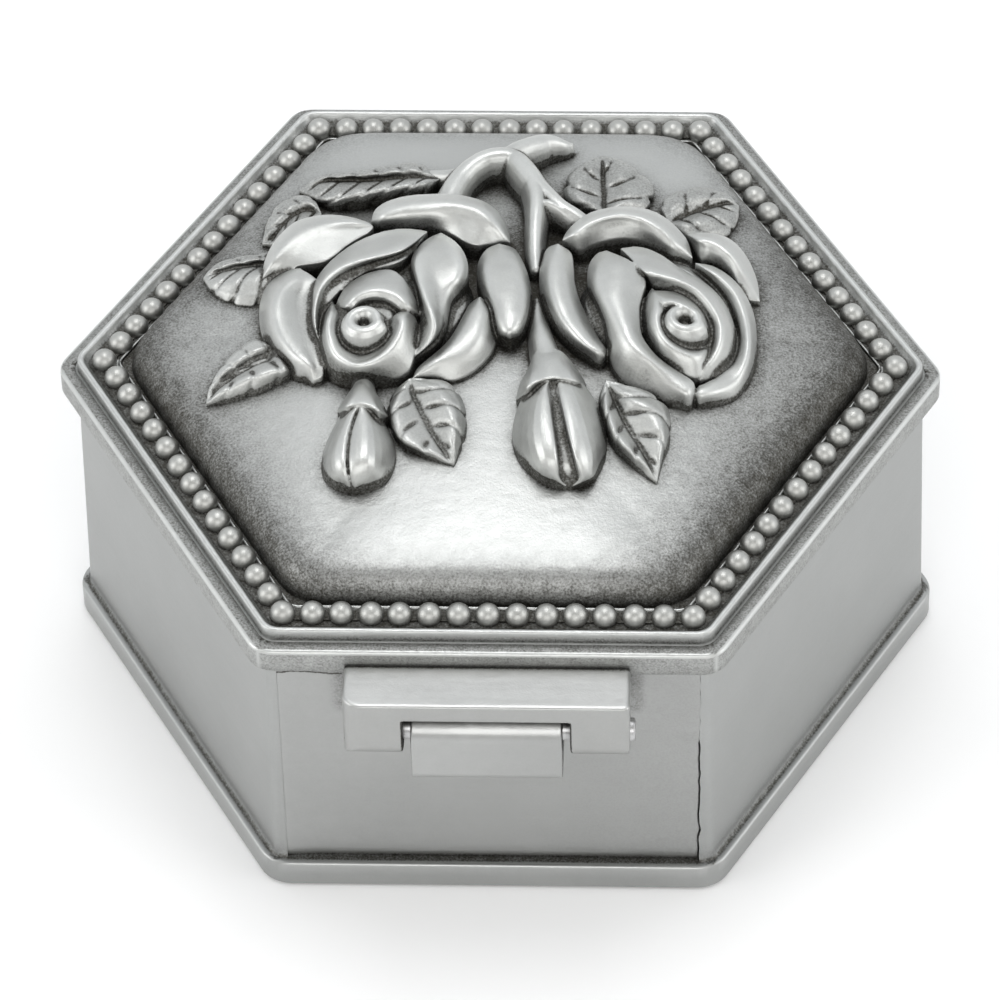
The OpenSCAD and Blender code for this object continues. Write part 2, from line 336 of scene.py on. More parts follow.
def mix(nt, fac, a, b):
    n = node(nt, "ShaderNodeMix", data_type="RGBA")
    if isinstance(fac, (int, float)):
        n.inputs[0].default_value = fac
    else:
        nt.links.new(fac, n.inputs[0])
    for i, x in ((6, a), (7, b)):
        if isinstance(x, tuple):
            n.inputs[i].default_value = (*x, 1)
        else:
            nt.links.new(x, n.inputs[i])
    return n.outputs[2]


def pewter(name, light=(0.47, 0.475, 0.462), dark=(0.045, 0.042, 0.035), rough=0.34, grain=1.0,
           brush=None, brush_depth=1.0, deep=0.000014):
    """Antique pewter: satin metal. One point attribute darkens it: patina in the hollows, and painted shade in creases,
    gaps and under overhangs. Another lightens it: rubbed wear, and painted highlights on edges, tops and raised points.
    """
    mat, nt, b = nodes_of(name)
    vec = coords(nt)
    patina_shade = node(nt, "ShaderNodeAttribute", attribute_name="patina_and_shade").outputs["Fac"]
    wear_and_highlight = node(nt, "ShaderNodeAttribute", attribute_name="wear_and_highlight").outputs["Fac"]
    fine = noise(nt, vec, 5200, 3, 0.6)
    mid = noise(nt, vec, 900, 4, 0.6)
    wide = noise(nt, vec, 110, 3, 0.5)
    # patina and painted shade, broken up by grain at its edge
    amp = math_(nt, "MULTIPLY_ADD", patina_shade, 3.0, 0.06, clamp=True)
    speck = math_(nt, "MULTIPLY", math_(nt, "SUBTRACT", fine, 0.5), 1.10)
    speck = math_(nt, "MULTIPLY_ADD", math_(nt, "SUBTRACT", mid, 0.5), 0.45, speck)
    edge = math_(nt, "MULTIPLY_ADD", speck, amp, patina_shade)
    fac = ramp(nt, edge, [(0.04, (0, 0, 0)), (0.45, (0.42, 0.42, 0.42)), (0.75, (0.84, 0.84, 0.84)), (1.0, (1, 1, 1))])
    tone = math_(nt, "MULTIPLY_ADD", math_(nt, "SUBTRACT", wide, 0.5), 0.16, 1.0)
    tone = math_(nt, "MULTIPLY_ADD", math_(nt, "SUBTRACT", mid, 0.5), 0.14, tone)
    tone = math_(nt, "MULTIPLY_ADD", math_(nt, "SUBTRACT", fine, 0.5), 0.10 * grain, tone)
    # lighter base colour for rubbed wear and painted highlights
    base = mix(nt, wear_and_highlight, light, tuple(min(1, c * 1.22) for c in light))
    vmul = node(nt, "ShaderNodeVectorMath", operation="SCALE")
    nt.links.new(base, vmul.inputs[0])
    nt.links.new(tone, vmul.inputs["Scale"])
    col = mix(nt, fac, vmul.outputs[0], dark)
    nt.links.new(col, b.inputs["Base Color"])
    b.inputs["Metallic"].default_value = 1.0
    r = math_(nt, "MULTIPLY_ADD", math_(nt, "SUBTRACT", mid, 0.5), 0.16, rough)
    r = math_(nt, "MULTIPLY_ADD", patina_shade, 0.14, r)
    r = math_(nt, "MULTIPLY_ADD", wear_and_highlight, -0.05, r, clamp=True)
    nt.links.new(r, b.inputs["Roughness"])
    # bump: cast grain, then brushing
    h = math_(nt, "MULTIPLY", fine, 0.5 * grain)
    h = math_(nt, "MULTIPLY_ADD", mid, 1.2 * grain, h)
    if brush is not None:
        bv = coords(nt, brush)
        lines = noise(nt, bv, 1000, 2, 0.6)
        h = math_(nt, "MULTIPLY_ADD", lines, 1.3 * brush_depth, h)
    bump = node(nt, "ShaderNodeBump")
    bump.inputs["Strength"].default_value = 0.6
    bump.inputs["Distance"].default_value = deep
    nt.links.new(h, bump.inputs["Height"])
    nt.links.new(bump.outputs[0], b.inputs["Normal"])
    return mat


def set_attr(ob, name, values):
    me = ob.data
    a = me.attributes.get(name) or me.attributes.new(name, "FLOAT", "POINT")
    a.data.foreach_set("value", np.ascontiguousarray(values, np.float32))


def co_mm(ob):
    co = np.empty(len(ob.data.vertices) * 3, np.float32)
    ob.data.vertices.foreach_get("co", co)
    return co.reshape(-1, 3) * 1000.0


def finish_piece(ob, body, slot, mat, *stands_for):
    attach(ob, body)
    if stands_for:
        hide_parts(*stands_for)
    ob.data.materials.clear()
    ob.data.materials.append(mat)
    return ob


# copies of one pewter; their lightness is set part by part so that each part comes out as bright as it looks, so the
# differences between them are partly painted light and shade
PEWTER_WALL = pewter("pewter_wall", light=(0.388, 0.394, 0.388), rough=0.40, brush=(0.05, 0.05, 1.0), brush_depth=1.2, deep=0.000022)
PEWTER_LID = pewter("pewter_lid", light=(0.50, 0.508, 0.498), rough=0.42, grain=1.7, brush=(0.35, 1.0, 1.0), brush_depth=0.5, deep=0.000040)
PEWTER_RELIEF = pewter("pewter_relief", light=(0.52, 0.527, 0.512), rough=0.45, grain=1.4, deep=0.000036)
PEWTER_BEAD = pewter("pewter_bead", light=(0.42, 0.422, 0.405), rough=0.46, grain=1.3, deep=0.00003)
PEWTER_HINGE = pewter("pewter_hinge", light=(0.405, 0.408, 0.400), rough=0.42, deep=0.00003, brush=(0.05, 0.6, 1.0), brush_depth=0.9)

# ---------------------------------------------------------------- box body
FLAT_HALF = FOOT_AP / math.cos(math.pi / 6) / 2
PLATE_HALF = FLAT_HALF - 1
PLATE_IN = WALL_AP - 0.85
SEAM_TOP = 17.6


def seam(n, amp, seed):
    g = np.random.default_rng(seed)
    w = g.normal(0, 1, n)
    w = np.convolve(w, [0.25, 0.5, 0.25], "same")
    return amp * w


def make_box():
    wall = []
    for t in np.linspace(0, 1, 12)[1:-1]:
        wall.append((FOOT_AP + (WALL_AP - FOOT_AP) * (3.6 + t * 23.4 - PLINTH_H) / (RIM_Z - PLINTH_H), 0.9,
                     3.6 + t * 23.4))
    profile = [
        (0, 0, 0.75), (15, 1.0, 0.75), (31.5, 1.6, 0.75), (31.5, 1.6, 0.25), (31.6, 1.65, 0.15),
        (33.2, 2.8, 0.15), (33.38, 2.9, 0.2), (33.5, 3.0, 0.34), (33.5, 3.0, 1.5), (33.5, 3.0, 2.62),
        (33.44, 2.95, 2.78), (33.33, 2.9, 2.87), (33.15, 2.8, 2.9), (32.95, 2.4, 2.905),
        (32.84, 2.0, 2.95), (32.70, 1.5, 3.08), (32.60, 1.2, 3.28), (32.555, 1.0, 3.55),
        *wall,
        (WALL_AP + 0.012, 0.85, 27.2), (WALL_AP, 0.85, 27.42), (WALL_AP - 0.05, 0.8, 27.51), (WALL_AP - 0.14, 0.8, RIM_Z),
        (INNER_AP + 0.14, 0.9, RIM_Z), (INNER_AP + 0.04, 0.9, RIM_Z - 0.04), (INNER_AP, 0.9, RIM_Z - 0.16),
        (INNER_AP, 0.9, 15), (INNER_AP, 0.9, FLOOR_Z), (15, 0.9, FLOOR_Z), (0, 0, FLOOR_Z)]
    ob = lathe_hex("box_body", profile, arc=9, flat=30)
    fix_normals(ob)
    # the opening for the hinge plate, with the ragged joint that its right edge shows
    zs = np.linspace(PLINTH_H + 0.02, RIM_Z + 0.6, 60)
    jr = seam(60, 0.075, 3)
    jl = seam(60, 0.03, 4)
    right = [(PLATE_HALF + 0.03 + jr[i], z) for i, z in enumerate(zs)]
    left = [(-PLATE_HALF - 0.03 + jl[i], z) for i, z in enumerate(zs)]
    s = right + left[::-1]
    n = len(s)
    v = np.vstack([np.c_[[p[0] for p in s], np.full(n, -FOOT_AP - 3), [p[1] for p in s]],
                   np.c_[[p[0] for p in s], np.full(n, -PLATE_IN), [p[1] for p in s]]])
    f = [tuple(range(n)), tuple(range(n, 2 * n))[::-1]] + [(i, (i + 1) % n, n + (i + 1) % n, n + i) for i in range(n)]
    cut = new_mesh("cut", v, f, False)
    fix_normals(cut)
    boolean(ob, cut)
    shade(ob, 32)
    c = co_mm(ob)
    z = c[:, 2]
    ap = sides(c[:, 0], c[:, 1]).max(0)
    patina_shade = np.zeros(len(c))
    patina_shade = np.maximum(patina_shade, 0.80 * np.exp(-((z - 2.98) / 0.20) ** 2) * (ap > 32.3) * (ap < 33.0))
    patina_shade = np.maximum(patina_shade, 0.25 * np.exp(-((z - 3.0) / 0.8) ** 2) * (ap > 32.3) * (ap < 33.0))
    # painted shade along the top of the wall, under the lid's overhang
    patina_shade = np.maximum(patina_shade, 0.14 * np.exp(-((z - RIM_Z) / 0.7) ** 2) * (ap > 31))
    patina_shade = np.maximum(patina_shade, 0.5 * (ap < 31.3) * (z > 3))
    # painted shade on the cut faces of the plate opening, darkest in the open seam at its right edge
    inplate = (np.abs(c[:, 0]) < PLATE_HALF + 0.3) & (c[:, 1] < 0) & (ap < WALL_AP + 0.4) & (z < 27.5)
    patina_shade = np.where(inplate & (ap < WALL_AP - 0.1), np.where((c[:, 0] > 0) & (z < SEAM_TOP), 0.95, 0.2), patina_shade)
    set_attr(ob, "patina_and_shade", patina_shade)
    # lighter along the plinth's top edge: rubbed wear and painted highlight
    wear_and_highlight = np.clip(1 - np.abs(ap - 33.45) / 0.12, 0, 1) * (z > 2.5)
    set_attr(ob, "wear_and_highlight", wear_and_highlight)
    return finish_piece(ob, "box", "pewter", PEWTER_WALL, "box_casting")


def wall_y(z, grow=0.0):
    """Distance of the drafted hinge wall's face from the middle, at height z."""
    t = (z - (PLINTH_H - 0.4)) / (RIM_Z - PLINTH_H + 0.4)
    return FOOT_AP + grow + (WALL_AP - FOOT_AP) * t


def make_plate():
    z60 = np.linspace(PLINTH_H + 0.04, RIM_Z - 0.03, 60)
    zs = np.unique(np.round(np.concatenate([z60, np.arange(25.1, 26.5, 0.07)]), 3))
    jr = np.interp(zs, z60, seam(60, 0.075, 3))
    jl = np.interp(zs, z60, seam(60, 0.03, 4))
    nx = 150
    rows_f, rows_b = [], []
    g = np.random.default_rng(5)
    for i, z in enumerate(zs):
        x0, x1 = -PLATE_HALF - 0.035 + jl[i], PLATE_HALF + (-0.06 if z < SEAM_TOP else 0.034) + jr[i]
        xs = np.concatenate([[x0, x0 + 0.05, x0 + 0.14], np.linspace(x0 + 0.5, x1 - 0.5, nx), [x1 - 0.14, x1 - 0.05, x1]])
        y = np.full(len(xs), -wall_y(z, -0.12))
        drop = np.zeros(len(xs))
        drop[[0, -1]], drop[[1, -2]] = (0.03, 0.12 if z < SEAM_TOP else 0.03), (0.01, 0.035 if z < SEAM_TOP else 0.01)
        # flush with the wall along the left edge and above the open part of the right seam
        el = np.clip(1 - (xs - x0) / 3.0, 0, 1)
        er = np.clip(1 - (x1 - xs) / 3.0, 0, 1) * min(1.0, max(0.0, (z - SEAM_TOP) / 1.2))
        drop -= 0.118 * (el * el * (3 - 2 * el) + er * er * (3 - 2 * er))
        if i == 0:
            drop += 0.05
        rows_f.append(np.c_[xs, y + drop, np.full(len(xs), z)])
        rows_b.append(np.c_[xs, np.full(len(xs), -PLATE_IN - 0.01), np.full(len(xs), z)])
    rows_f, rows_b = np.array(rows_f), np.array(rows_b)
    m, k = rows_f.shape[:2]
    # faint dents and pits of hand work
    for (px, pz, r, d) in ((-12.6, 18.6, 0.35, 0.05), (15.8, 14.7, 0.3, 0.06), (14.2, 21.2, 0.45, 0.05), (6.5, 9.0, 0.5, 0.03)):
        q = np.exp(-((rows_f[..., 0] - px) ** 2 + (rows_f[..., 2] - pz) ** 2) / r ** 2)
        rows_f[..., 1] += d * q
    v = np.vstack([rows_f.reshape(-1, 3), rows_b.reshape(-1, 3)])
    idx = np.arange(m * k).reshape(m, k)
    off = m * k
    f = []
    for i in range(m - 1):
        for j in range(k - 1):
            a, b, c, d = idx[i, j], idx[i, j + 1], idx[i + 1, j + 1], idx[i + 1, j]
            f.append((a, b, c, d))
            f.append((off + a, off + d, off + c, off + b))
    for i in range(m - 1):
        f.append((idx[i, 0], idx[i + 1, 0], off + idx[i + 1, 0], off + idx[i, 0]))
        f.append((idx[i, k - 1], off + idx[i, k - 1], off + idx[i + 1, k - 1], idx[i + 1, k - 1]))
    for j in range(k - 1):
        f.append((idx[0, j], off + idx[0, j], off + idx[0, j + 1], idx[0, j + 1]))
        f.append((idx[m - 1, j], idx[m - 1, j + 1], off + idx[m - 1, j + 1], off + idx[m - 1, j]))
    plate = new_mesh("hinge_plate_face", v, [tuple(int(q) for q in t) for t in f])
    fix_normals(plate)
    # the lug, with its bore
    lug = ([(-PLATE_IN - 0.5, 19.0)] + [(-PLATE_IN - 0.5, 24.6)] + [(PIN_Y + 0.9, 24.9)] +
           arc_pts(PIN_Y, PIN_Z, 2.0, 60, 180, 22) + [(PIN_Y - 2.0, 21.6)] +
           arc_pts(PIN_Y - 2.0 + 1.2, 20.2, 1.2, 180, 270, 10))
    ob = extrude_x("lug", lug, -6.35, 6.35)
    bevel(ob, 0.34, 4, 50)
    ring = [(PIN_Y + 1.05 * math.cos(t), PIN_Z + 1.05 * math.sin(t)) for t in np.linspace(0, 2 * math.pi, 49)[:-1]]
    boolean(ob, extrude_x("bore", ring, -8, 8))
    fix_normals(ob)
    shade(ob, 40)
    shade(plate, 40)
    c = co_mm(ob)
    patina_shade = np.zeros(len(c))
    # patina and painted shade in the bore, where the lug meets the plate, under it and on its ends beside the ears
    patina_shade = np.maximum(patina_shade, 0.85 * np.clip((np.hypot(c[:, 1] - PIN_Y, c[:, 2] - PIN_Z) < 1.2) * 1.0, 0, 1))
    patina_shade = np.maximum(patina_shade, 0.75 * np.clip((c[:, 1] + 33.4) / 1.0, 0, 1))
    patina_shade = np.maximum(patina_shade, 0.55 * np.clip(1 - (c[:, 2] - 18.9) / 0.5, 0, 1))
    patina_shade = np.maximum(patina_shade, 0.5 * (np.abs(c[:, 0]) > 6.3))
    set_attr(ob, "patina_and_shade", patina_shade)
    # lighter along the upper front of the knuckle and at its left end: rubbed wear and painted highlight
    wear_and_highlight = np.clip(1 - np.abs(c[:, 2] - 25.2) / 0.8, 0, 1) * (c[:, 1] < PIN_Y + 1) + 0.6 * np.clip((-6.0 - c[:, 0]) / 0.2, 0, 1)
    set_attr(ob, "wear_and_highlight", np.clip(wear_and_highlight, 0, 1))
    c = co_mm(plate)
    patina_shade = np.zeros(len(c))
    front = c[:, 1] < -PLATE_IN - 0.3
    z, x = c[:, 2], c[:, 0]
    # patina and painted shade around the lug, under the bracket, under the lid's skirt and at the foot
    patina_shade = np.maximum(patina_shade, 0.75 * np.exp(-(np.maximum(np.abs(x) - 6.2, 0) / 0.7) ** 2) * np.exp(-(np.maximum(18.9 - z, 0) / 0.45) ** 2) * (z < 27))
    patina_shade = np.maximum(patina_shade, 0.35 * np.exp(-(np.maximum(np.abs(x) - 12.2, 0) / 1.0) ** 2) * np.clip((z - 20.6) / 1.5, 0, 1))
    patina_shade = np.maximum(patina_shade, 0.16 * np.clip((z - 25.5) / 2, 0, 1))
    # painted shadow of the lid skirt's edge: a ragged dark line across the left part of the plate, with painted shade
    # above it
    wob = np.interp(x, np.linspace(-18, -12, 40), seam(40, 0.07, 8))
    line = 26.02 - 0.40 * np.clip((x + 17.8) / 5.6, 0, 1) ** 2 + wob
    patina_shade = np.maximum(patina_shade, np.where(x < -12.25, 0.85 * np.exp(-((z - line) / 0.085) ** 2) + 0.25 * (z > line), 0))
    patina_shade = np.maximum(patina_shade, 0.8 * np.clip(1 - (z - 2.9) / 0.3, 0, 1))
    # painted shade on the plate's edge faces, darkest in the open seam
    patina_shade = np.where(front, patina_shade, np.where((x > 0) & (z < SEAM_TOP), 0.95, 0.2))
    # a little darker towards the right
    patina_shade = np.maximum(patina_shade, 0.10 * np.clip((x + 14) / 30, 0, 1))
    set_attr(plate, "patina_and_shade", patina_shade)
    set_attr(plate, "wear_and_highlight", np.zeros(len(c)))
    join(plate, [ob])
    plate.name = "hinge_lug_plate"
    return finish_piece(plate, "box", "pewter", PEWTER_HINGE_WALL, "hinge_plate")


def join(ob, others):
    with bpy.context.temp_override(active_object=ob, selected_objects=[ob] + others, selected_editable_objects=[ob] + others):
        bpy.ops.object.join()
    return ob


# another copy of the pewter, its lightness set the same way: partly painted light and shade
PEWTER_HINGE_WALL = pewter("pewter_hinge_wall", light=(0.395, 0.399, 0.393), rough=0.40, brush=(0.05, 0.05, 1.0), brush_depth=1.6, deep=0.000030)


# ---------------------------------------------------------------- lid
def make_lid():
    arc, flat = 9, 54
    like = hexring(FOOT, 2.6, arc, flat)

    def hx(ap, r, z):
        p = hexring(ap, r, arc, flat)
        return np.c_[p, np.full(len(p), z)]
    rings = []
    # underside of the dome, from the middle out
    rings.append(np.array([[0.0, 0.0, APEX - 1.6]]))
    for s in (6, 12, 18, 23, 26):
        p = dome_ring(s, like)
        rings.append(np.c_[p, np.maximum(np.full(len(p), float(prof(s)) - 1.6), 29.2)])
    rings += [hx(26.8, 2, 30.6), hx(26.8, 2, 29.0), hx(29.6, 1, 29.0), hx(29.6, 1, 27.65), hx(29.7, 1, 27.55)]
    rings += [hx(33.25, 2.2, 27.55), hx(33.4, 2.35, 27.6), hx(33.5, 2.4, 27.74), hx(33.5, 2.4, 28.7), hx(33.5, 2.4, 29.62)]
    for a in (18, 36, 54, 72, 90):
        t = math.radians(a)
        rings.append(hx(33.5 - 0.36 * (1 - math.cos(t)), 2.4 - 0.3 * (1 - math.cos(t)), 29.64 + 0.36 * math.sin(t)))
    rings += [hx(32.8, 2.0, 30.005), hx(32.34, 1.8, 30.0), hx(32.30, 1.8, 29.97), hx(32.26, 1.8, 29.86), hx(32.2, 1.75, 29.83),
              hx(32.14, 1.7, 29.88), hx(32.11, 1.7, 30.1), hx(32.06, 1.7, 30.85), hx(32.02, 1.7, 31.0), hx(31.93, 1.65, 31.08),
              hx(31.8, 1.6, 31.1), hx(31.66, 1.6, 31.08), hx(31.55, 1.5, 31.0), hx(31.48, 1.5, 30.86), hx(31.3, 1.45, 30.62),
              hx(31.1, 1.4, 30.48), hx(30.9, 1.35, 30.45), hx(29.2, 1.2, 30.45), hx(28.93, 1.2, 30.46), hx(28.87, 1.2, 30.56),
              hx(28.83, 1.2, 30.63), hx(28.76, 1.15, 30.66), hx(28.69, 1.1, 30.65), hx(28.64, 1.1, 30.58), hx(28.6, 1.1, 30.4)]
    for a in np.linspace(0, 78, 22):
        s = XS + RS * math.cos(math.radians(a))
        p = dome_ring(s, like)
        rings.append(np.c_[p, np.full(len(p), ZB + RS * math.sin(math.radians(a)))])
    for s in np.concatenate([np.linspace(XT, 1.0, 92)[1:], [0.5]]):
        p = dome_ring(s, like)
        rings.append(np.c_[p, np.full(len(p), float(prof(s)))])
    rings.append(np.array([[0.0, 0.0, APEX]]))
    v, f = loft(rings)
    ob = new_mesh("lid_body", v, f)
    fix_normals(ob)
    shade(ob, 50)
    return ob


def make_beads():
    side = 2 * BEAD_AP / math.cos(math.pi / 6) / 2
    n_seg, n_ring = 24, 16
    # one bead as a ball
    base = [np.array([[0, 0, 1.0]])]
    th = np.linspace(0, math.pi, n_ring + 1)[1:-1]
    for t in th:
        a = np.linspace(0, 2 * math.pi, n_seg, endpoint=False)
        base.append(np.c_[math.sin(t) * np.cos(a), math.sin(t) * np.sin(a), np.full(n_seg, math.cos(t))])
    base.append(np.array([[0, 0, -1.0]]))
    bv, bf = loft(base)
    V, F = [], []
    g = np.random.default_rng(21)
    k = 0
    for i in range(6):
        a = math.radians(60 * i)
        for j in range(14):
            x, y = -side / 2 + j * side / 14, -BEAD_AP
            X, Y = x * math.cos(a) - y * math.sin(a), x * math.sin(a) + y * math.cos(a)
            r = BEAD_R * (1 + g.uniform(-0.025, 0.0))
            p = bv * np.array([r, r, r * g.uniform(0.97, 1.0)])
            rot = g.uniform(0, 2 * math.pi)
            cr, sr = math.cos(rot), math.sin(rot)
            p = np.c_[p[:, 0] * cr - p[:, 1] * sr, p[:, 0] * sr + p[:, 1] * cr, p[:, 2]]
            V.append(p + np.array([X + g.uniform(-0.03, 0.03), Y + g.uniform(-0.03, 0.03), BEAD_Z]))
            F += [tuple(q + k for q in t) for t in bf]
            k += len(bv)
    ob = new_mesh("bead_row", np.vstack(V), F)
    fix_normals(ob)
    global BEAD_VERTS
    BEAD_VERTS = len(ob.data.vertices)
    # the strip that the beads stand on
    r0, r1 = hexring(BEAD_AP - 0.55, 0.7, 7, 6), hexring(BEAD_AP + 0.55, 0.9, 7, 6)
    z0, z1 = CHANNEL_Z - 0.02, CHANNEL_Z + 0.16
    rings = [np.c_[r0, np.full(len(r0), z0)], np.c_[r1, np.full(len(r1), z0)], np.c_[r1, np.full(len(r1), z1)],
             np.c_[r0, np.full(len(r0), z1)], np.c_[r0, np.full(len(r0), z0)]]
    v, f = loft(rings)
    strip = new_mesh("bead_strip", v, f)
    fix_normals(strip)
    shade(strip, 30)
    join(ob, [strip])
    ob.name = "bead_border_row"
    return ob


def make_bracket():
    top, under, front, back = 28.5, 26.6, -38.2, -33.42
    # plan of the bar, with its left front corner worn rounder than the right
    plan = ([(12.0, back), (12.0, front + 0.45)] + arc_pts(12.0 - 0.45, front + 0.45, 0.45, 0, -90, 5)[1:] +
            arc_pts(-12.0 + 1.5, front + 1.5, 1.5, 270, 180, 9) + [(-12.0, back)])
    bar = extrude_z("bar", plan, under, top)
    bevel(bar, 0.26, 4, 50)
    ears = []
    for x0, x1 in ((-12.0, -7.0), (7.0, 12.0)):
        sec = ([(PIN_Y + 2.1, 27.6), (PIN_Y - 2.1, 27.6)] + arc_pts(PIN_Y, PIN_Z, 2.1, 180, 360, 30))
        e = extrude_x("ear", sec, x0, x1)
        bevel(e, 0.22, 3, 50)
        ears.append(e)
    # left ear follows the bar's rounded corner
    c = extrude_z("cut", [(-14.0, -40.0), (-10.5, -40.0), (-10.5, front - 0.0)] + arc_pts(-10.5, front + 1.5, 1.5, 270, 180, 9)[1:] + [(-14.0, front + 1.5)], 20, 30)
    boolean(ears[0], c)
    join(bar, ears)
    ring = [(PIN_Y + 0.99 * math.cos(t), PIN_Z + 0.99 * math.sin(t)) for t in np.linspace(0, 2 * math.pi, 49)[:-1]]
    return bar, ring


def bracket_piece():
    bar, ring = make_bracket()
    # one solid by a fine remesh, so that the bar and its ears run into each other
    me = bar.data
    co = co_mm(bar)
    me.vertices.foreach_set("co", co.astype(np.float32).ravel())
    me.update()
    m = bar.modifiers.new("one", "REMESH")
    m.mode = "VOXEL"
    m.voxel_size = 0.12
    m.use_smooth_shade = True
    s = bar.modifiers.new("soft", "SMOOTH")
    s.factor, s.iterations = 0.5, 6
    apply_modifiers(bar)
    co = np.empty(len(bar.data.vertices) * 3, np.float32)
    bar.data.vertices.foreach_get("co", co)
    co = co.reshape(-1, 3)
    bar.data.vertices.foreach_set("co", (co * MM).astype(np.float32).ravel())
    bar.data.update()
    boolean(bar, extrude_x("bore", ring, -14, 14))
    bar.name = "hinge_bracket_bar"
    shade(bar, 60)
    c = co_mm(bar)
    x, y, z = c.T
    # patina and painted shade where the bar meets the skirt, under the bar, between the ears and round the bore
    patina_shade = np.zeros(len(c))
    patina_shade = np.maximum(patina_shade, 0.9 * np.clip((y + 33.95) / 0.3, 0, 1))
    patina_shade = np.maximum(patina_shade, 0.75 * np.clip(1 - (y + 33.8) / -0.9, 0, 1) * (z < 26.5))
    patina_shade = np.maximum(patina_shade, 0.8 * (np.abs(x) < 7.15) * (z < 26.68))
    patina_shade = np.maximum(patina_shade, 0.9 * (np.hypot(y - PIN_Y, z - PIN_Z) < 1.02))
    patina_shade = np.maximum(patina_shade, 0.35 * np.exp(-((np.hypot(y - PIN_Y, z - PIN_Z) - 1.0) / 0.25) ** 2) * (np.abs(x) > 11.9))
    set_attr(bar, "patina_and_shade", np.clip(patina_shade, 0, 1))
    # painted highlight: the bar's top face is lighter
    wear_and_highlight = np.clip((z - 28.3) / 0.15, 0, 1)
    set_attr(bar, "wear_and_highlight", wear_and_highlight)
    return finish_piece(bar, "lid", "pewter", PEWTER_HINGE, "hinge_bracket")


def make_pin():
    prof_ = [(-11.9, 0), (-11.9, 0.8), (-11.8, 0.98), (-11.7, 1.0), (0, 1.0), (12.2, 1.0), (12.36, 0.95), (12.44, 0.82), (12.45, 0.6), (12.43, 0)]
    rings = []
    a = np.linspace(0, 2 * math.pi, 48, endpoint=False)
    for x, r in prof_:
        if r == 0:
            rings.append(np.array([[x, PIN_Y, PIN_Z]]))
        else:
            rings.append(np.c_[np.full(48, x), PIN_Y + r * np.cos(a), PIN_Z + r * np.sin(a)])
    v, f = loft(rings)
    ob = new_mesh("hinge_pin_rod", v, f)
    fix_normals(ob)
    shade(ob, 40)
    return ob


def steel():
    mat, nt, b = nodes_of("steel_pin")
    vec = coords(nt, (1, 0.02, 0.02))
    n = noise(nt, vec, 3000, 3)
    c = ramp(nt, n, [(0.3, (0.42, 0.42, 0.42)), (0.7, (0.56, 0.56, 0.56))])
    nt.links.new(c, b.inputs["Base Color"])
    b.inputs["Metallic"].default_value = 1.0
    r = math_(nt, "MULTIPLY_ADD", n, 0.2, 0.22)
    nt.links.new(r, b.inputs["Roughness"])
    bump = node(nt, "ShaderNodeBump")
    bump.inputs["Strength"].default_value = 0.4
    bump.inputs["Distance"].default_value = 0.00001
    nt.links.new(n, bump.inputs["Height"])
    nt.links.new(bump.outputs[0], b.inputs["Normal"])
    return mat


def fabric(name, dark, light, scale, bump_mm, sheen=0.6, rough=0.9):
    mat, nt, b = nodes_of(name)
    vec = coords(nt)
    a = noise(nt, vec, scale, 4, 0.7)
    w = noise(nt, vec, 120, 3, 0.5)
    f = math_(nt, "MULTIPLY_ADD", w, 0.5, math_(nt, "MULTIPLY", a, 0.6))
    c = ramp(nt, f, [(0.25, dark), (0.75, light)])
    nt.links.new(c, b.inputs["Base Color"])
    b.inputs["Roughness"].default_value = rough
    b.inputs["Sheen Weight"].default_value = sheen
    b.inputs["Sheen Roughness"].default_value = 0.35
    b.inputs["Sheen Tint"].default_value = (0.75, 0.78, 0.95, 1)
    b.inputs["Specular IOR Level"].default_value = 0.2
    bump = node(nt, "ShaderNodeBump")
    bump.inputs["Strength"].default_value = 0.6
    bump.inputs["Distance"].default_value = bump_mm * MM
    nt.links.new(a, bump.inputs["Height"])
    nt.links.new(bump.outputs[0], b.inputs["Normal"])
    return mat


def card():
    mat, nt, b = nodes_of("board")
    vec = coords(nt)
    a = noise(nt, vec, 1500, 5, 0.7)
    c = ramp(nt, a, [(0.3, (0.36, 0.31, 0.24)), (0.7, (0.47, 0.42, 0.33))])
    nt.links.new(c, b.inputs["Base Color"])
    b.inputs["Roughness"].default_value = 0.85
    bump = node(nt, "ShaderNodeBump")
    bump.inputs["Strength"].default_value = 0.3
    bump.inputs["Distance"].default_value = 0.00003
    nt.links.new(a, bump.inputs["Height"])
    nt.links.new(bump.outputs[0], b.inputs["Normal"])
    return mat


make_box()
make_plate()
LID = make_lid()
BEADS = make_beads()
bracket_piece()
PIN = make_pin()
finish_piece(PIN, "lid", "steel", steel(), "hinge_pin")
set_attr(PIN, "patina_and_shade", np.zeros(len(PIN.data.vertices)))

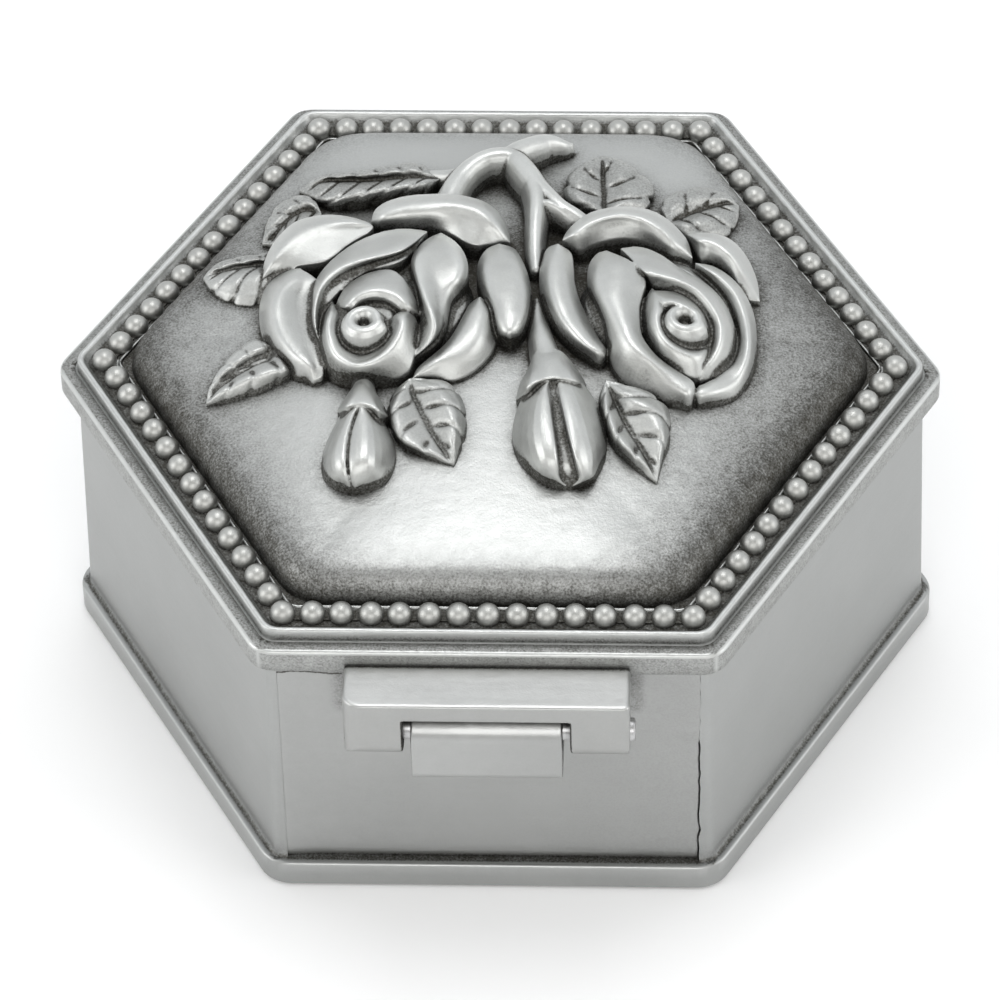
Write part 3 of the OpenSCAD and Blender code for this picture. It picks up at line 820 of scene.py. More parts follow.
PETALS = {
    "rose_left": [
        dict(s=(-17.36, 5.46, 2.2), e=(-15.63, -7.11, 0.7), edge="rf", veins=0, vd=0.3, rows=[
            [(-18.9, 5.93, 1.6), (-20.18, 4.93, 1.2), (-20.77, 2.93, 0.9), (-20.74, 0.82, 0.7), (-20.36, -1.21, 0.6), (-19.57, -3.08, 0.5), (-18.52, -4.82, 0.4), (-17.33, -6.2, 0.4), (-16.27, -6.65, 0.4)],
            [(-18.13, 4.05, 2.6), (-18.98, 2.23, 2.8), (-19.31, 0.37, 2.8), (-19.22, -1.27, 2.6), (-18.71, -2.91, 2.4), (-17.95, -4.3, 2.2), (-17.04, -5.46, 2), (-16.06, -6.32, 1.6)],
            [(-16.74, 3.82, 2.3), (-17.19, 2.37, 2), (-17.19, 0.59, 1.9), (-16.91, -1.28, 1.9), (-16.48, -2.99, 1.9), (-15.98, -4.34, 1.8), (-15.5, -5.58, 1.6), (-15.29, -6.47, 1.2)],
            [(-15.79, 3.8, 2.1), (-16.14, 2.12, 1.9), (-16.14, 0.35, 1.8), (-15.87, -1.53, 1.7), (-15.53, -3.12, 1.7), (-15.12, -4.46, 1.6), (-14.8, -5.8, 1.4), (-14.77, -6.79, 1)],
        ]),
        dict(s=(-20.81, 5.3, 1.2), e=(-11.11, 10.06, 2.4), edge="ff", veins=0, vd=0.3, rows=[
            [(-20.63, 7.06, 1.8), (-20.1, 8.73, 2.2), (-19.21, 10.3, 2.4), (-18.05, 11.53, 2.5), (-16.65, 11.89, 2.6), (-15.24, 11.97, 2.6), (-13.81, 11.64, 2.6), (-12.55, 11.07, 2.6), (-11.56, 10.54, 2.5)],
            [(-20.01, 6.01, 2.4), (-19.27, 7.27, 3), (-18.28, 8.57, 3.3), (-17.1, 9.52, 3.4), (-15.8, 9.89, 3.4), (-14.49, 9.99, 3.4), (-13.27, 10.07, 3.2), (-12.14, 10.01, 2.9)],
            [(-19.32, 5.81, 2), (-18.28, 6.63, 2.6), (-17.18, 7.5, 2.9), (-16.08, 8.19, 3), (-14.88, 8.72, 3), (-13.68, 9.23, 2.9), (-12.56, 9.6, 2.7), (-11.71, 9.87, 2.5)],
            [(-18.79, 5.72, 1.9), (-17.56, 5.87, 2.1), (-16.33, 5.88, 2.2), (-15.11, 6.02, 2.3), (-14.18, 6.75, 2.4), (-13.36, 7.73, 2.4), (-12.44, 8.58, 2.4), (-11.6, 9.3, 2.4)],
        ]),
        dict(s=(-11.42, 11.0, 2.2), e=(0.89, 8.72, 1.2), edge="ff", veins=0, vd=0.3, rows=[
            [(-11.21, 12.26, 2.4), (-10.45, 13.06, 2.6), (-9.32, 13.45, 2.8), (-7.93, 13.81, 2.8), (-6.34, 13.76, 2.9), (-4.58, 13.72, 2.9), (-3, 13.4, 2.8), (-1.57, 12.8, 2.7), (-0.41, 11.89, 2.4), (0.32, 10.68, 2), (0.78, 9.61, 1.5)],
            [(-10.51, 11.01, 3.2), (-9.64, 11.43, 3.5), (-8.5, 11.54, 3.7), (-7.28, 11.65, 3.8), (-5.96, 11.62, 3.9), (-4.47, 11.43, 3.9), (-3.06, 11.1, 3.8), (-1.83, 10.63, 3.6), (-0.94, 9.98, 3.2), (-0.23, 9.3, 2.6), (0.38, 8.87, 1.9)],
            [(-10.49, 10.4, 2.9), (-9.52, 10.39, 3.2), (-8.38, 10.48, 3.3), (-7.15, 10.45, 3.4), (-5.84, 10.4, 3.4), (-4.44, 10.33, 3.3), (-3.21, 9.98, 3.1), (-2.24, 9.51, 2.9), (-1.45, 9, 2.5), (-0.66, 8.75, 2), (0.12, 8.53, 1.6)],
            [(-10.79, 10.46, 1.9), (-9.73, 10.24, 1.9), (-8.58, 10.19, 2), (-7.35, 10.13, 2), (-6.13, 10.09, 2), (-5.06, 9.64, 2), (-3.98, 8.79, 2), (-2.99, 8.06, 1.9), (-2.03, 7.87, 1.7), (-1.09, 8.23, 1.5), (-0.14, 8.48, 1.4)],
        ]),
        dict(s=(-15.22, -3.79, 2.0), e=(-6.32, 8.87, 2.6), edge="ff", veins=0, vd=0.3, rows=[
            [(-15.94, -1.73, 1.9), (-16.12, 0.27, 2), (-16.12, 2.06, 2.2), (-15.78, 3.85, 2.3), (-15.07, 5.24, 2.4), (-14.08, 6.49, 2.5), (-12.91, 7.59, 2.6), (-11.54, 8.42, 2.7), (-9.99, 8.98, 2.8), (-8.43, 9.15, 2.8), (-7.2, 9.06, 2.7)],
            [(-15.56, -3.05, 3.2), (-15.7, -1.64, 3.6), (-15.58, -0.36, 3.9), (-15.29, 0.88, 4.1), (-14.57, 2.09, 4.2), (-13.57, 3.02, 4.2), (-12.31, 3.68, 4.2), (-10.94, 4.19, 4.1), (-9.59, 4.82, 3.9), (-8.42, 5.72, 3.6), (-7.29, 7.27, 3.1)],
            [(-15.34, -2.57, 2.7), (-15.39, -1.3, 3), (-15.18, -0.15, 3.3), (-14.8, 0.94, 3.4), (-14.07, 2.01, 3.4), (-13.08, 2.93, 3.4), (-11.9, 3.6, 3.4), (-10.63, 4.25, 3.3), (-9.45, 4.9, 3.1), (-8.45, 5.7, 2.9), (-7.47, 7.03, 2.6)],
            [(-15.15, -1.79, 1.9), (-15.08, -1.09, 2.4), (-14.77, -0.31, 2.7), (-14.11, 0.66, 2.9), (-13.3, 1.73, 3), (-12.39, 2.66, 3), (-11.3, 3.47, 3), (-10.19, 3.9, 3), (-9.25, 4.32, 2.9), (-8.41, 4.9, 2.8), (-7.53, 6.33, 2.4)],
        ]),
        dict(s=(-13.88, -0.61, 2.8), e=(-6.58, -1.75, 2.6), edge="ff", veins=0, vd=0.3, rows=[
            [(-13.75, 0.38, 2.9), (-13.12, 1.72, 3), (-12.11, 2.56, 3.2), (-10.83, 3.01, 3.4), (-9.36, 3.16, 3.4), (-8.28, 2.2, 3.4), (-7.44, 0.64, 3.3), (-6.87, -0.78, 3.1)],
            [(-13.24, -0.62, 3.6), (-12.5, 0.17, 3.85), (-11.48, 0.75, 4.05), (-10.2, 1.1, 4.1), (-9.06, 0.83, 4.05), (-8.17, 0.06, 3.9), (-7.36, -1.03, 3.6)],
            [(-12.92, -1.67, 4), (-12.25, -1, 4.25), (-11.32, -0.54, 4.45), (-10.2, -0.37, 4.45), (-9.16, -0.59, 4.35), (-8.28, -1.17, 4.15), (-7.58, -1.84, 3.7)],
            [(-12.58, -1.87, 3.7), (-11.91, -1.28, 3.9), (-11.14, -0.95, 4), (-10.2, -0.89, 4), (-9.41, -1.14, 3.95), (-8.71, -1.59, 3.75), (-8.01, -2, 3.4)],
        ]),
        dict(s=(-14.21, 0.56, 2.4), e=(-7.38, -1.19, 2.8), edge="rf", veins=0, vd=0.3, rows=[
            [(-15.12, -0.51, 2.2), (-15.4, -2.14, 1.9), (-15.32, -3.86, 1.6), (-14.91, -5.48, 1.2), (-14.08, -6.74, 1), (-12.85, -7.44, 0.9), (-11.37, -7.79, 0.9), (-9.83, -7.78, 0.9), (-8.46, -7.61, 1), (-7.44, -7.14, 1.3), (-6.95, -6.03, 1.8), (-6.75, -4.45, 2.2), (-6.72, -2.85, 2.5)],
            [(-14.39, -1.99, 3.6), (-14.55, -3.74, 3.7), (-14.4, -5.3, 3.5), (-13.92, -6.55, 3.2), (-13.12, -7.35, 3), (-12.07, -7.91, 2.9), (-10.95, -7.89, 2.9), (-9.85, -7.48, 3), (-8.93, -6.81, 3.2), (-8.28, -5.87, 3.5), (-7.89, -4.78, 3.8), (-7.77, -3.47, 3.9)],
            [(-13.87, -1.93, 3.5), (-13.96, -3.58, 3.6), (-13.72, -5.02, 3.5), (-13.26, -6.04, 3.2), (-12.55, -6.71, 3), (-11.67, -7.15, 2.9), (-10.82, -6.98, 2.9), (-9.99, -6.44, 3), (-9.32, -5.75, 3.2), (-8.84, -4.81, 3.4), (-8.63, -3.74, 3.5), (-8.59, -2.55, 3.5)],
            [(-13.39, -1.61, 2.9), (-13.41, -3.03, 3), (-13.18, -4.25, 2.9), (-12.7, -5.36, 2.8), (-12.08, -5.89, 2.7), (-11.39, -6.08, 2.6), (-10.7, -5.99, 2.7), (-10.03, -5.55, 2.8), (-9.54, -4.87, 2.9), (-9.24, -3.81, 3), (-9.2, -2.74, 3)],
        ]),
        dict(s=(-5.18, 8.69, 2.6), e=(-7.31, -5.98, 1.4), edge="rr", veins=0, vd=0.3, rows=[
            [(-6.28, 7.92, 2.6), (-7.19, 6.62, 2.6), (-7.64, 5.07, 2.6), (-7.39, 3.12, 2.6), (-6.96, 1.21, 2.6), (-6.63, -0.65, 2.6), (-6.57, -2.27, 2.4), (-6.78, -3.76, 2.1), (-7.08, -4.98, 1.8)],
            [(-6.02, 6.35, 3.4), (-6.8, 4.51, 3.8), (-7.08, 2.9, 4), (-6.73, 0.79, 4.2), (-6.22, -1.08, 4.2), (-5.65, -2.71, 4), (-5.27, -4.01, 3.5), (-5.6, -4.97, 2.7), (-6.45, -5.55, 2)],
            [(-5.13, 5.83, 3.6), (-5.31, 3.93, 3.8), (-5.25, 2.4, 3.8), (-5.2, 0.98, 3.6), (-5.07, -0.32, 3.3), (-4.85, -1.73, 3), (-4.73, -3, 2.7), (-5.12, -4.27, 2.2), (-6.13, -5.25, 1.8)],
            [(-4.28, 6.29, 3.4), (-3.6, 4.51, 3.7), (-3.29, 2.96, 3.7), (-3.5, 1.54, 3.5), (-4.08, 0.59, 3.1), (-4.39, -0.57, 2.8), (-4.44, -1.74, 2.4), (-4.74, -3.25, 2), (-5.73, -4.6, 1.6)],
            [(-3.99, 7.35, 2.8), (-3.15, 5.89, 2.9), (-2.66, 4.19, 2.9), (-2.69, 2.62, 2.7), (-3.26, 1.3, 2.4), (-3.91, 0.14, 2.1), (-4.13, -1.27, 1.8), (-4.34, -2.77, 1.5), (-5.31, -4.44, 1.3)],
        ]),
        dict(s=(-0.13, 8.14, 1.7), e=(1.18, -3.57, 1.1), edge="rr", veins=0, vd=0.3, rows=[
            [(-1.24, 7.44, 1.6), (-1.87, 5.72, 1.6), (-1.89, 3.65, 1.6), (-1.39, 1.75, 1.6), (-0.82, 0.23, 1.5), (-0.52, -1.38, 1.4), (0.04, -2.86, 1.2)],
            [(-0.75, 6.27, 2.3), (-1.11, 4.25, 2.6), (-0.95, 2.23, 2.7), (-0.55, 0.36, 2.7), (-0.07, -1.12, 2.6), (0.23, -2.49, 2.4), (0.59, -3.52, 2)],
            [(0.12, 6.32, 2.5), (0.55, 4.07, 2.9), (0.87, 2.06, 3), (1.1, 0.2, 3), (1.23, -1.29, 2.9), (1.27, -2.65, 2.7), (1.2, -3.7, 2.2)],
            [(0.97, 6.78, 2.1), (1.65, 4.66, 2.5), (2.15, 2.51, 2.6), (2.41, 0.75, 2.5), (2.41, -0.87, 2.4), (2.19, -2.35, 2.3), (1.79, -3.39, 1.9)],
            [(1.19, 7.83, 1.4), (2.01, 6.23, 1.3), (2.59, 4.27, 1.2), (2.91, 2.22, 1.1), (2.95, 0.45, 1), (2.74, -1.27, 1), (2.1, -2.85, 1)],
        ]),
        dict(s=(-1.53, 0.96, 2.0), e=(-7.09, -7.6, 0.8), edge="rr", veins=0, vd=0.3, rows=[
            [(-2.37, 0.3, 1.8), (-2.93, -1.07, 1.7), (-3.48, -2.53, 1.6), (-4.13, -3.84, 1.5), (-4.95, -4.9, 1.4), (-5.86, -5.82, 1.3), (-6.69, -6.64, 1.1)],
            [(-1.8, -0.79, 2.5), (-2.27, -2.36, 2.5), (-2.74, -3.68, 2.4), (-3.47, -4.89, 2.2), (-4.38, -5.96, 2), (-5.38, -6.77, 1.8), (-6.32, -7.28, 1.4)],
            [(-0.94, -1.05, 2.4), (-1.05, -2.74, 2.4), (-1.35, -4.2, 2.2), (-2.09, -5.43, 1.9), (-3.18, -6.4, 1.6), (-4.45, -7.01, 1.3), (-5.8, -7.47, 1.1)],
            [(-0.66, 0.46, 1.4), (-0.1, -0.95, 1.1), (0.03, -2.68, 0.9), (-0.27, -4.26, 0.7), (-1.08, -5.69, 0.6), (-2.24, -6.86, 0.5), (-3.68, -7.53, 0.5), (-5.39, -7.49, 0.5)],
        ]),
    ],
    "rose_right": [
        dict(s=(5.36, 8.42, 2.0), e=(16.76, 7.69, 1.6), edge="ff", veins=0, vd=0.3, rows=[
            [(5.68, 9.3, 2.2), (6.45, 10.37, 2.5), (7.56, 11.45, 2.7), (8.77, 12.11, 2.8), (10.33, 12.54, 2.9), (11.9, 12.59, 2.9), (13.22, 12.34, 2.8), (14.45, 11.54, 2.7), (15.51, 10.54, 2.4), (16.31, 9.37, 2.1)],
            [(6.32, 8.41, 2.9), (7.18, 9.1, 3.3), (8.21, 9.65, 3.6), (9.34, 10.06, 3.8), (10.64, 10.35, 3.9), (11.94, 10.34, 3.8), (13.08, 9.93, 3.7), (14.22, 9.35, 3.4), (15.19, 8.56, 2.9), (15.97, 8.13, 2.3)],
            [(6.68, 8.12, 2.7), (7.62, 8.79, 3), (8.65, 9.32, 3.2), (9.78, 9.72, 3.3), (10.9, 9.84, 3.3), (12.04, 9.68, 3.2), (13.09, 9.12, 3.1), (14.06, 8.51, 2.8), (14.93, 7.89, 2.5), (15.8, 7.77, 2)],
            [(6.85, 7.72, 1.5), (7.71, 8.21, 1.6), (8.66, 8.6, 1.8), (9.7, 8.87, 2), (10.82, 9.13, 2), (11.96, 9.1, 1.9), (13.01, 8.81, 1.8), (13.97, 8.24, 1.7), (14.94, 7.68, 1.6), (15.89, 7.64, 1.4)],
        ]),
        dict(s=(16.12, 10.64, 1.8), e=(22.62, 4.1, 0.6), edge="ff", veins=0, vd=0.3, rows=[
            [(17.34, 10.89, 2), (18.57, 10.98, 2), (19.71, 10.75, 1.9), (20.58, 10.18, 1.7), (21.38, 9.15, 1.4), (21.99, 7.81, 1.1), (22.44, 6.16, 0.8)],
            [(17.36, 9.15, 2.8), (18.4, 8.95, 2.9), (19.36, 8.54, 2.8), (20.15, 7.81, 2.6), (20.85, 6.89, 2.2), (21.47, 5.92, 1.7), (22.09, 4.93, 1.1)],
            [(17.36, 8.61, 2.2), (18.32, 8.24, 2.3), (19.2, 7.71, 2.3), (19.9, 7.08, 2), (20.51, 6.16, 1.7), (21.13, 5.22, 1.3), (21.83, 4.43, 0.9)],
            [(17.28, 8.13, 1.4), (18.16, 7.87, 1.4), (19.03, 7.47, 1.4), (19.82, 6.76, 1.3), (20.43, 5.75, 1.2), (20.96, 4.71, 1), (21.57, 4.07, 0.7)],
        ]),
        dict(s=(5.02, 7.99, 2.0), e=(9.36, -5.19, 1.4), edge="rr", veins=0, vd=0.3, rows=[
            [(4.06, 7.71, 1.6), (3.58, 6.05, 1.4), (3.46, 4.05, 1.2), (3.69, 1.85, 1), (4.26, -0.27, 0.8), (5.17, -2.07, 0.7), (6.32, -3.56, 0.7), (7.55, -4.64, 0.8), (8.76, -5.44, 1)],
            [(4.64, 6.06, 2.4), (4.44, 4.01, 2.6), (4.49, 1.98, 2.6), (4.88, -0.01, 2.5), (5.52, -1.72, 2.3), (6.42, -3.25, 2.2), (7.47, -4.4, 2), (8.68, -5.17, 1.8)],
            [(5.42, 5.97, 2.4), (5.56, 3.94, 2.6), (5.78, 2.05, 2.6), (6.17, 0.19, 2.5), (6.72, -1.41, 2.3), (7.44, -2.94, 2.2), (8.23, -4.11, 2), (9.1, -4.9, 1.8)],
            [(6.17, 6.97, 1.9), (6.47, 5.25, 1.8), (6.6, 3.32, 1.8), (6.99, 1.44, 1.7), (7.55, -0.27, 1.6), (8.18, -1.93, 1.6), (8.81, -3.32, 1.6), (9.43, -4.45, 1.6)],
        ]),
        dict(s=(9.31, 6.71, 2.6), e=(17.01, -8.78, 1.5), edge="rr", veins=0, vd=0.3, rows=[
            [(8.44, 6.67, 2.2), (7.77, 5.39, 2), (7.63, 3.65, 1.8), (7.93, 1.88, 1.7), (8.57, 0.05, 1.6), (9.12, -1.63, 1.5), (9.41, -3.31, 1.4), (9.7, -4.97, 1.2), (10.32, -6.37, 0.9), (11.37, -7.59, 0.6), (12.83, -8.48, 0.5), (14.46, -9.08, 0.5), (15.83, -9.33, 0.6), (16.68, -9.41, 0.8)],
            [(8.83, 4.7, 3.2), (8.52, 3.05, 3.4), (8.56, 1.31, 3.5), (8.94, -0.26, 3.5), (9.48, -1.82, 3.4), (10.02, -3.35, 3.3), (10.56, -4.73, 3.2), (11.18, -5.87, 3), (12.04, -6.79, 2.6), (13.07, -7.44, 2.2), (14.19, -8.14, 2), (15.39, -8.8, 1.9), (16.51, -9.24, 1.8)],
            [(10.15, 3.81, 3.9), (10.44, 2.11, 4.1), (10.47, 0.62, 4.1), (10.58, -0.74, 4), (10.86, -2.19, 3.9), (11.23, -3.61, 3.8), (11.67, -4.9, 3.6), (12.29, -5.92, 3.4), (13.15, -6.69, 3.1), (14.18, -7.33, 2.7), (15.21, -7.83, 2.4), (16.15, -8.31, 2.2), (16.75, -8.72, 2)],
            [(11.35, 4.51, 3.6), (12.32, 3.2, 3.6), (12.77, 1.97, 3.5), (12.53, 0.78, 3.3), (12.29, -0.74, 3.2), (12.32, -2.33, 3.1), (12.51, -3.88, 3), (13.13, -5.02, 2.8), (13.99, -5.91, 2.5), (15.03, -6.63, 2.3), (15.97, -7.12, 2.1), (16.66, -7.41, 1.9), (17.09, -7.93, 1.8)],
        ]),
        dict(s=(10.43, 6.86, 2.8), e=(17.51, -7.05, 1.4), edge="rf", veins=0, vd=0.3, rows=[
            [(11.82, 7.28, 2.8), (13.03, 7.03, 2.8), (14.26, 6.26, 2.8), (15.49, 5.2, 2.7), (16.71, 4.42, 2.6), (17.92, 3.64, 2.5), (19.06, 2.58, 2.3), (19.84, 1.25, 2.1), (20.37, -0.33, 1.9), (20.55, -1.94, 1.6), (20.39, -3.5, 1.4), (19.8, -5, 1.1), (18.87, -6.27, 1)],
            [(11.93, 5.47, 3.5), (13.07, 4.97, 3.6), (14.2, 4.21, 3.7), (15.42, 3.45, 3.7), (16.63, 2.7, 3.7), (17.67, 1.91, 3.6), (18.72, 0.87, 3.4), (19.42, -0.21, 3.1), (19.94, -1.42, 2.8), (20.04, -2.76, 2.5), (19.79, -4.22, 2.2), (19.2, -5.4, 1.8), (18.44, -6.35, 1.5)],
            [(12.49, 3.07, 4.1), (13.54, 2.34, 4.3), (14.66, 1.98, 4.4), (15.78, 1.6, 4.4), (16.91, 1.09, 4.3), (17.86, 0.3, 4.1), (18.64, -0.75, 3.9), (19.17, -1.95, 3.6), (19.35, -3.27, 3.3), (19.1, -4.52, 2.9), (18.6, -5.57, 2.5), (18.01, -6.29, 2.1)],
            [(12.75, 2.72, 3.5), (13.71, 2.09, 3.6), (14.75, 1.72, 3.7), (15.79, 1.33, 3.7), (16.65, 0.79, 3.6), (17.43, 0.01, 3.5), (18.04, -0.95, 3.3), (18.48, -1.92, 3), (18.58, -3.12, 2.8), (18.42, -4.23, 2.5), (18, -5.26, 2.2), (17.58, -6.05, 1.9)],
            [(13.1, 2.36, 2.8), (13.97, 1.84, 2.9), (14.92, 1.47, 3), (15.79, 1.07, 3), (16.57, 0.52, 2.9), (17.18, -0.17, 2.8), (17.7, -1.01, 2.6), (18.06, -1.95, 2.5), (18.24, -2.91, 2.3), (18.08, -4.01, 2.1), (17.66, -5.02, 1.9), (17.32, -5.78, 1.7)],
        ]),
        dict(s=(13.29, 1.71, 3.2), e=(18.5, -3.71, 2.2), edge="rf", veins=0, vd=0.3, rows=[
            [(12.7, 0.7, 2.8), (12.37, -0.75, 2.5), (12.49, -2.36, 2.3), (12.85, -3.79, 2.1), (13.64, -5.12, 2), (14.68, -6.18, 1.9), (15.88, -6.85, 1.8), (17.25, -7.03, 1.7), (18.18, -5.87, 1.8)],
            [(13.5, -0.84, 3.9), (13.35, -2.55, 3.9), (13.62, -3.98, 3.7), (14.15, -5.01, 3.5), (15.01, -5.75, 3.3), (16.04, -6.12, 3.1), (17.07, -6.13, 3), (17.83, -5.39, 2.8)],
            [(14.19, -1.24, 4), (14.03, -2.7, 4), (14.22, -3.78, 3.8), (14.74, -4.69, 3.6), (15.52, -5.22, 3.4), (16.38, -5.49, 3.2), (17.23, -5.31, 3), (17.91, -4.6, 2.7)],
            [(14.86, -0.51, 3), (14.62, -1.76, 3), (14.81, -2.83, 2.9), (15.24, -3.63, 2.8), (15.93, -4.04, 2.7), (16.62, -4.32, 2.6), (17.31, -4.14, 2.5), (17.99, -3.64, 2.3)],
        ]),
        dict(s=(13.29, 1.13, 3.4), e=(18.49, -2.94, 2.6), edge="ff", veins=0, vd=0.3, rows=[
            [(14.41, 1.25, 3.4), (15.7, 1.14, 3.4), (16.83, 0.51, 3.3), (17.7, -0.52, 3.2), (18.22, -1.61, 2.9)],
            [(14.26, -0.68, 4.3), (15.3, -1.12, 4.6), (16.33, -1.71, 4.7), (17.2, -2.37, 4.5), (17.8, -2.98, 4)],
            [(14.19, -1.26, 3.9), (15.05, -1.37, 4.1), (15.99, -1.73, 4.2), (16.77, -2.28, 4), (17.38, -2.9, 3.5)],
        ]),
        dict(s=(16.86, 6.49, 2.2), e=(17.1, -8.58, 1.3), edge="rf", veins=0, vd=0.3, rows=[
            [(18.42, 6.55, 2), (19.73, 5.91, 1.8), (20.87, 4.81, 1.5), (21.66, 3.4, 1.2), (22.18, 1.7, 0.9), (22.36, -0.31, 0.7), (22.37, -2.26, 0.5), (22.12, -4.24, 0.4), (21.53, -6.03, 0.3), (20.51, -7.63, 0.3), (19.15, -8.49, 0.3), (18.04, -8.85, 0.4), (17.36, -9, 0.7)],
            [(18.26, 5.2, 2.7), (19.39, 4.42, 2.6), (20.44, 3.1, 2.5), (21.13, 1.6, 2.3), (21.57, -0.13, 2.1), (21.75, -1.92, 2), (21.68, -3.7, 1.8), (21.34, -5.25, 1.6), (20.67, -6.63, 1.3), (19.73, -7.66, 1.3), (18.63, -8.46, 1.4), (17.61, -8.83, 1.4)],
            [(18.09, 5.08, 2.3), (19.05, 4.14, 2.2), (19.92, 2.93, 2.1), (20.53, 1.45, 2), (20.97, -0.13, 1.9), (21.15, -1.93, 1.8), (20.99, -3.49, 1.6), (20.66, -4.92, 1.5), (20.07, -6.03, 1.4), (19.22, -7.02, 1.5), (18.28, -7.92, 1.6), (17.52, -8.36, 1.6)],
            [(17.91, 5.3, 1.6), (18.79, 4.21, 1.5), (19.58, 2.98, 1.4), (20.11, 1.61, 1.3), (20.46, 0.15, 1.2), (20.56, -1.45, 1.1), (20.48, -2.98, 1.1), (20.14, -4.28, 1.1), (19.55, -5.56, 1.3), (18.79, -6.54, 1.4), (18.02, -7.21, 1.4), (17.34, -7.75, 1.4)],
        ]),
    ],
    "rosebud_left": [
        dict(s=(-11.19, -12.12, 3.1), e=(-11.57, -19.16, 0.3), edge="rr", veins=0, vd=0.3, rows=[
            [(-12.91, -11.44, 1.2), (-13.63, -12.66, 0.9), (-14.18, -13.99, 0.6), (-14.47, -15.31, 0.4), (-14.44, -16.76, 0.3), (-13.97, -17.9, 0.25), (-12.95, -18.76, 0.25)],
            [(-12.18, -12.87, 2.8), (-12.79, -14.59, 2.8), (-13.23, -16.15, 2.75), (-13.34, -17.52, 2.6), (-13.23, -18.36, 2.2), (-12.89, -18.83, 1.6), (-12.31, -19.04, 1)],
            [(-11.74, -13.09, 3), (-12.12, -14.92, 3.1), (-12.3, -16.59, 3.15), (-12.33, -17.97, 3), (-12.27, -18.82, 2.5), (-12.06, -19.23, 1.8), (-11.87, -19.26, 1.1)],
            [(-11.57, -12.65, 2.5), (-11.96, -14.34, 2.45), (-12.1, -15.98, 2.45), (-12.12, -17.41, 2.35), (-12, -18.44, 2.05), (-11.88, -18.89, 1.4), (-11.77, -19, 0.8)],
            [(-11.31, -13.13, 3), (-11.7, -14.91, 3.05), (-11.84, -16.58, 3.1), (-11.82, -18.01, 3), (-11.71, -18.85, 2.5), (-11.6, -19.25, 1.8), (-11.54, -19.28, 1.1)],
            [(-10.56, -13, 2.8), (-10.3, -14.96, 3), (-10.14, -16.68, 3.1), (-10.05, -17.96, 2.85), (-10.17, -18.64, 2.3), (-10.51, -19.02, 1.6), (-11.04, -19.16, 1)],
            [(-9.81, -11.77, 1.3), (-9.01, -12.98, 1), (-8.37, -14.26, 0.7), (-8.19, -15.57, 0.45), (-8.36, -16.88, 0.35), (-8.9, -18.1, 0.3), (-10.14, -18.86, 0.25)],
        ]),
        dict(s=(-13.39, -10.58, 0.8), e=(-8.8, -11.8, 0.8), edge="ff", veins=0, vd=0.3, rows=[
            [(-12.65, -9.55, 1.2), (-12, -8.65, 1.5), (-11.26, -7.89, 1.6), (-10.44, -8.99, 1.5), (-9.54, -10.35, 1.2)],
            [(-12.45, -11.14, 2.4), (-11.86, -10.68, 2.7), (-11.18, -10.49, 2.8), (-10.4, -11.02, 2.7), (-9.69, -11.81, 2.3)],
            [(-12.47, -12.21, 2.95), (-11.78, -12.16, 3.2), (-11.09, -12.25, 3.3), (-10.31, -12.49, 3.2), (-9.55, -12.82, 2.85)],
            [(-12.47, -12.31, 2.7), (-11.78, -12.32, 2.95), (-11.09, -12.41, 3.05), (-10.32, -12.65, 2.95), (-9.55, -12.92, 2.6)],
        ]),
    ],
    "rosebud_right": [
        dict(s=(5.29, -9.22, 3.2), e=(6.58, -18.8, 0.3), edge="rr", veins=0, vd=0.3, rows=[
            [(3.48, -9.12, 1.8), (2.4, -10.26, 1.3), (1.84, -11.78, 0.9), (1.63, -13.47, 0.6), (1.88, -15.1, 0.4), (2.46, -16.38, 0.3), (3.43, -17.57, 0.25), (4.8, -18.48, 0.25)],
            [(4.22, -10.41, 3.1), (3.76, -12.37, 3.3), (3.56, -14.27, 3.35), (3.6, -16, 3.15), (3.88, -17.3, 2.85), (4.32, -18.27, 2.3), (4.95, -18.68, 1.4)],
            [(4.56, -10.57, 3.3), (4.7, -12.57, 3.55), (4.92, -14.5, 3.65), (5.17, -16.32, 3.55), (5.41, -17.64, 3.15), (5.58, -18.44, 2.4), (5.75, -18.82, 1.4)],
            [(4.8, -10.29, 3), (4.98, -12.1, 3.05), (5.19, -13.95, 3.05), (5.49, -15.74, 2.9), (5.73, -17.16, 2.6), (5.91, -18.05, 1.95), (6.07, -18.48, 1)],
            [(5.31, -10.26, 3), (5.61, -12.07, 3.05), (5.95, -13.92, 3.05), (6.33, -15.71, 2.9), (6.69, -17.14, 2.6), (7, -18.07, 2), (7.17, -18.54, 1.1)],
            [(5.62, -10.52, 3.3), (5.97, -12.51, 3.55), (6.35, -14.44, 3.65), (6.77, -16.27, 3.55), (7.17, -17.64, 3.2), (7.48, -18.49, 2.5), (7.6, -18.87, 1.5)],
            [(6.5, -10.18, 3.1), (7.14, -12.1, 3.3), (7.69, -13.95, 3.3), (8.14, -15.61, 3), (8.5, -16.91, 2.55), (8.56, -17.91, 2), (8.27, -18.53, 1.25)],
            [(7.39, -8.88, 2), (8.52, -10.05, 1.4), (9.23, -11.64, 1), (9.64, -13.23, 0.7), (9.63, -14.91, 0.5), (9.31, -16.31, 0.35), (8.58, -17.71, 0.25)],
        ]),
        dict(s=(1.87, -9.81, 0.8), e=(7.88, -8.16, 0.9), edge="ff", veins=0, vd=0.3, rows=[
            [(2.1, -8.72, 1.2), (2.83, -7.24, 1.7), (3.56, -5.43, 2), (5.52, -5.34, 2), (7.09, -7.07, 1.5)],
            [(2.66, -9.78, 2.6), (3.49, -8.57, 2.9), (4.49, -7.79, 3.2), (5.77, -7.86, 3.1), (6.97, -8.47, 2.5)],
            [(2.86, -10.52, 3.05), (3.79, -10.09, 3.4), (4.81, -9.94, 3.65), (5.9, -9.85, 3.55), (7.08, -9.61, 3)],
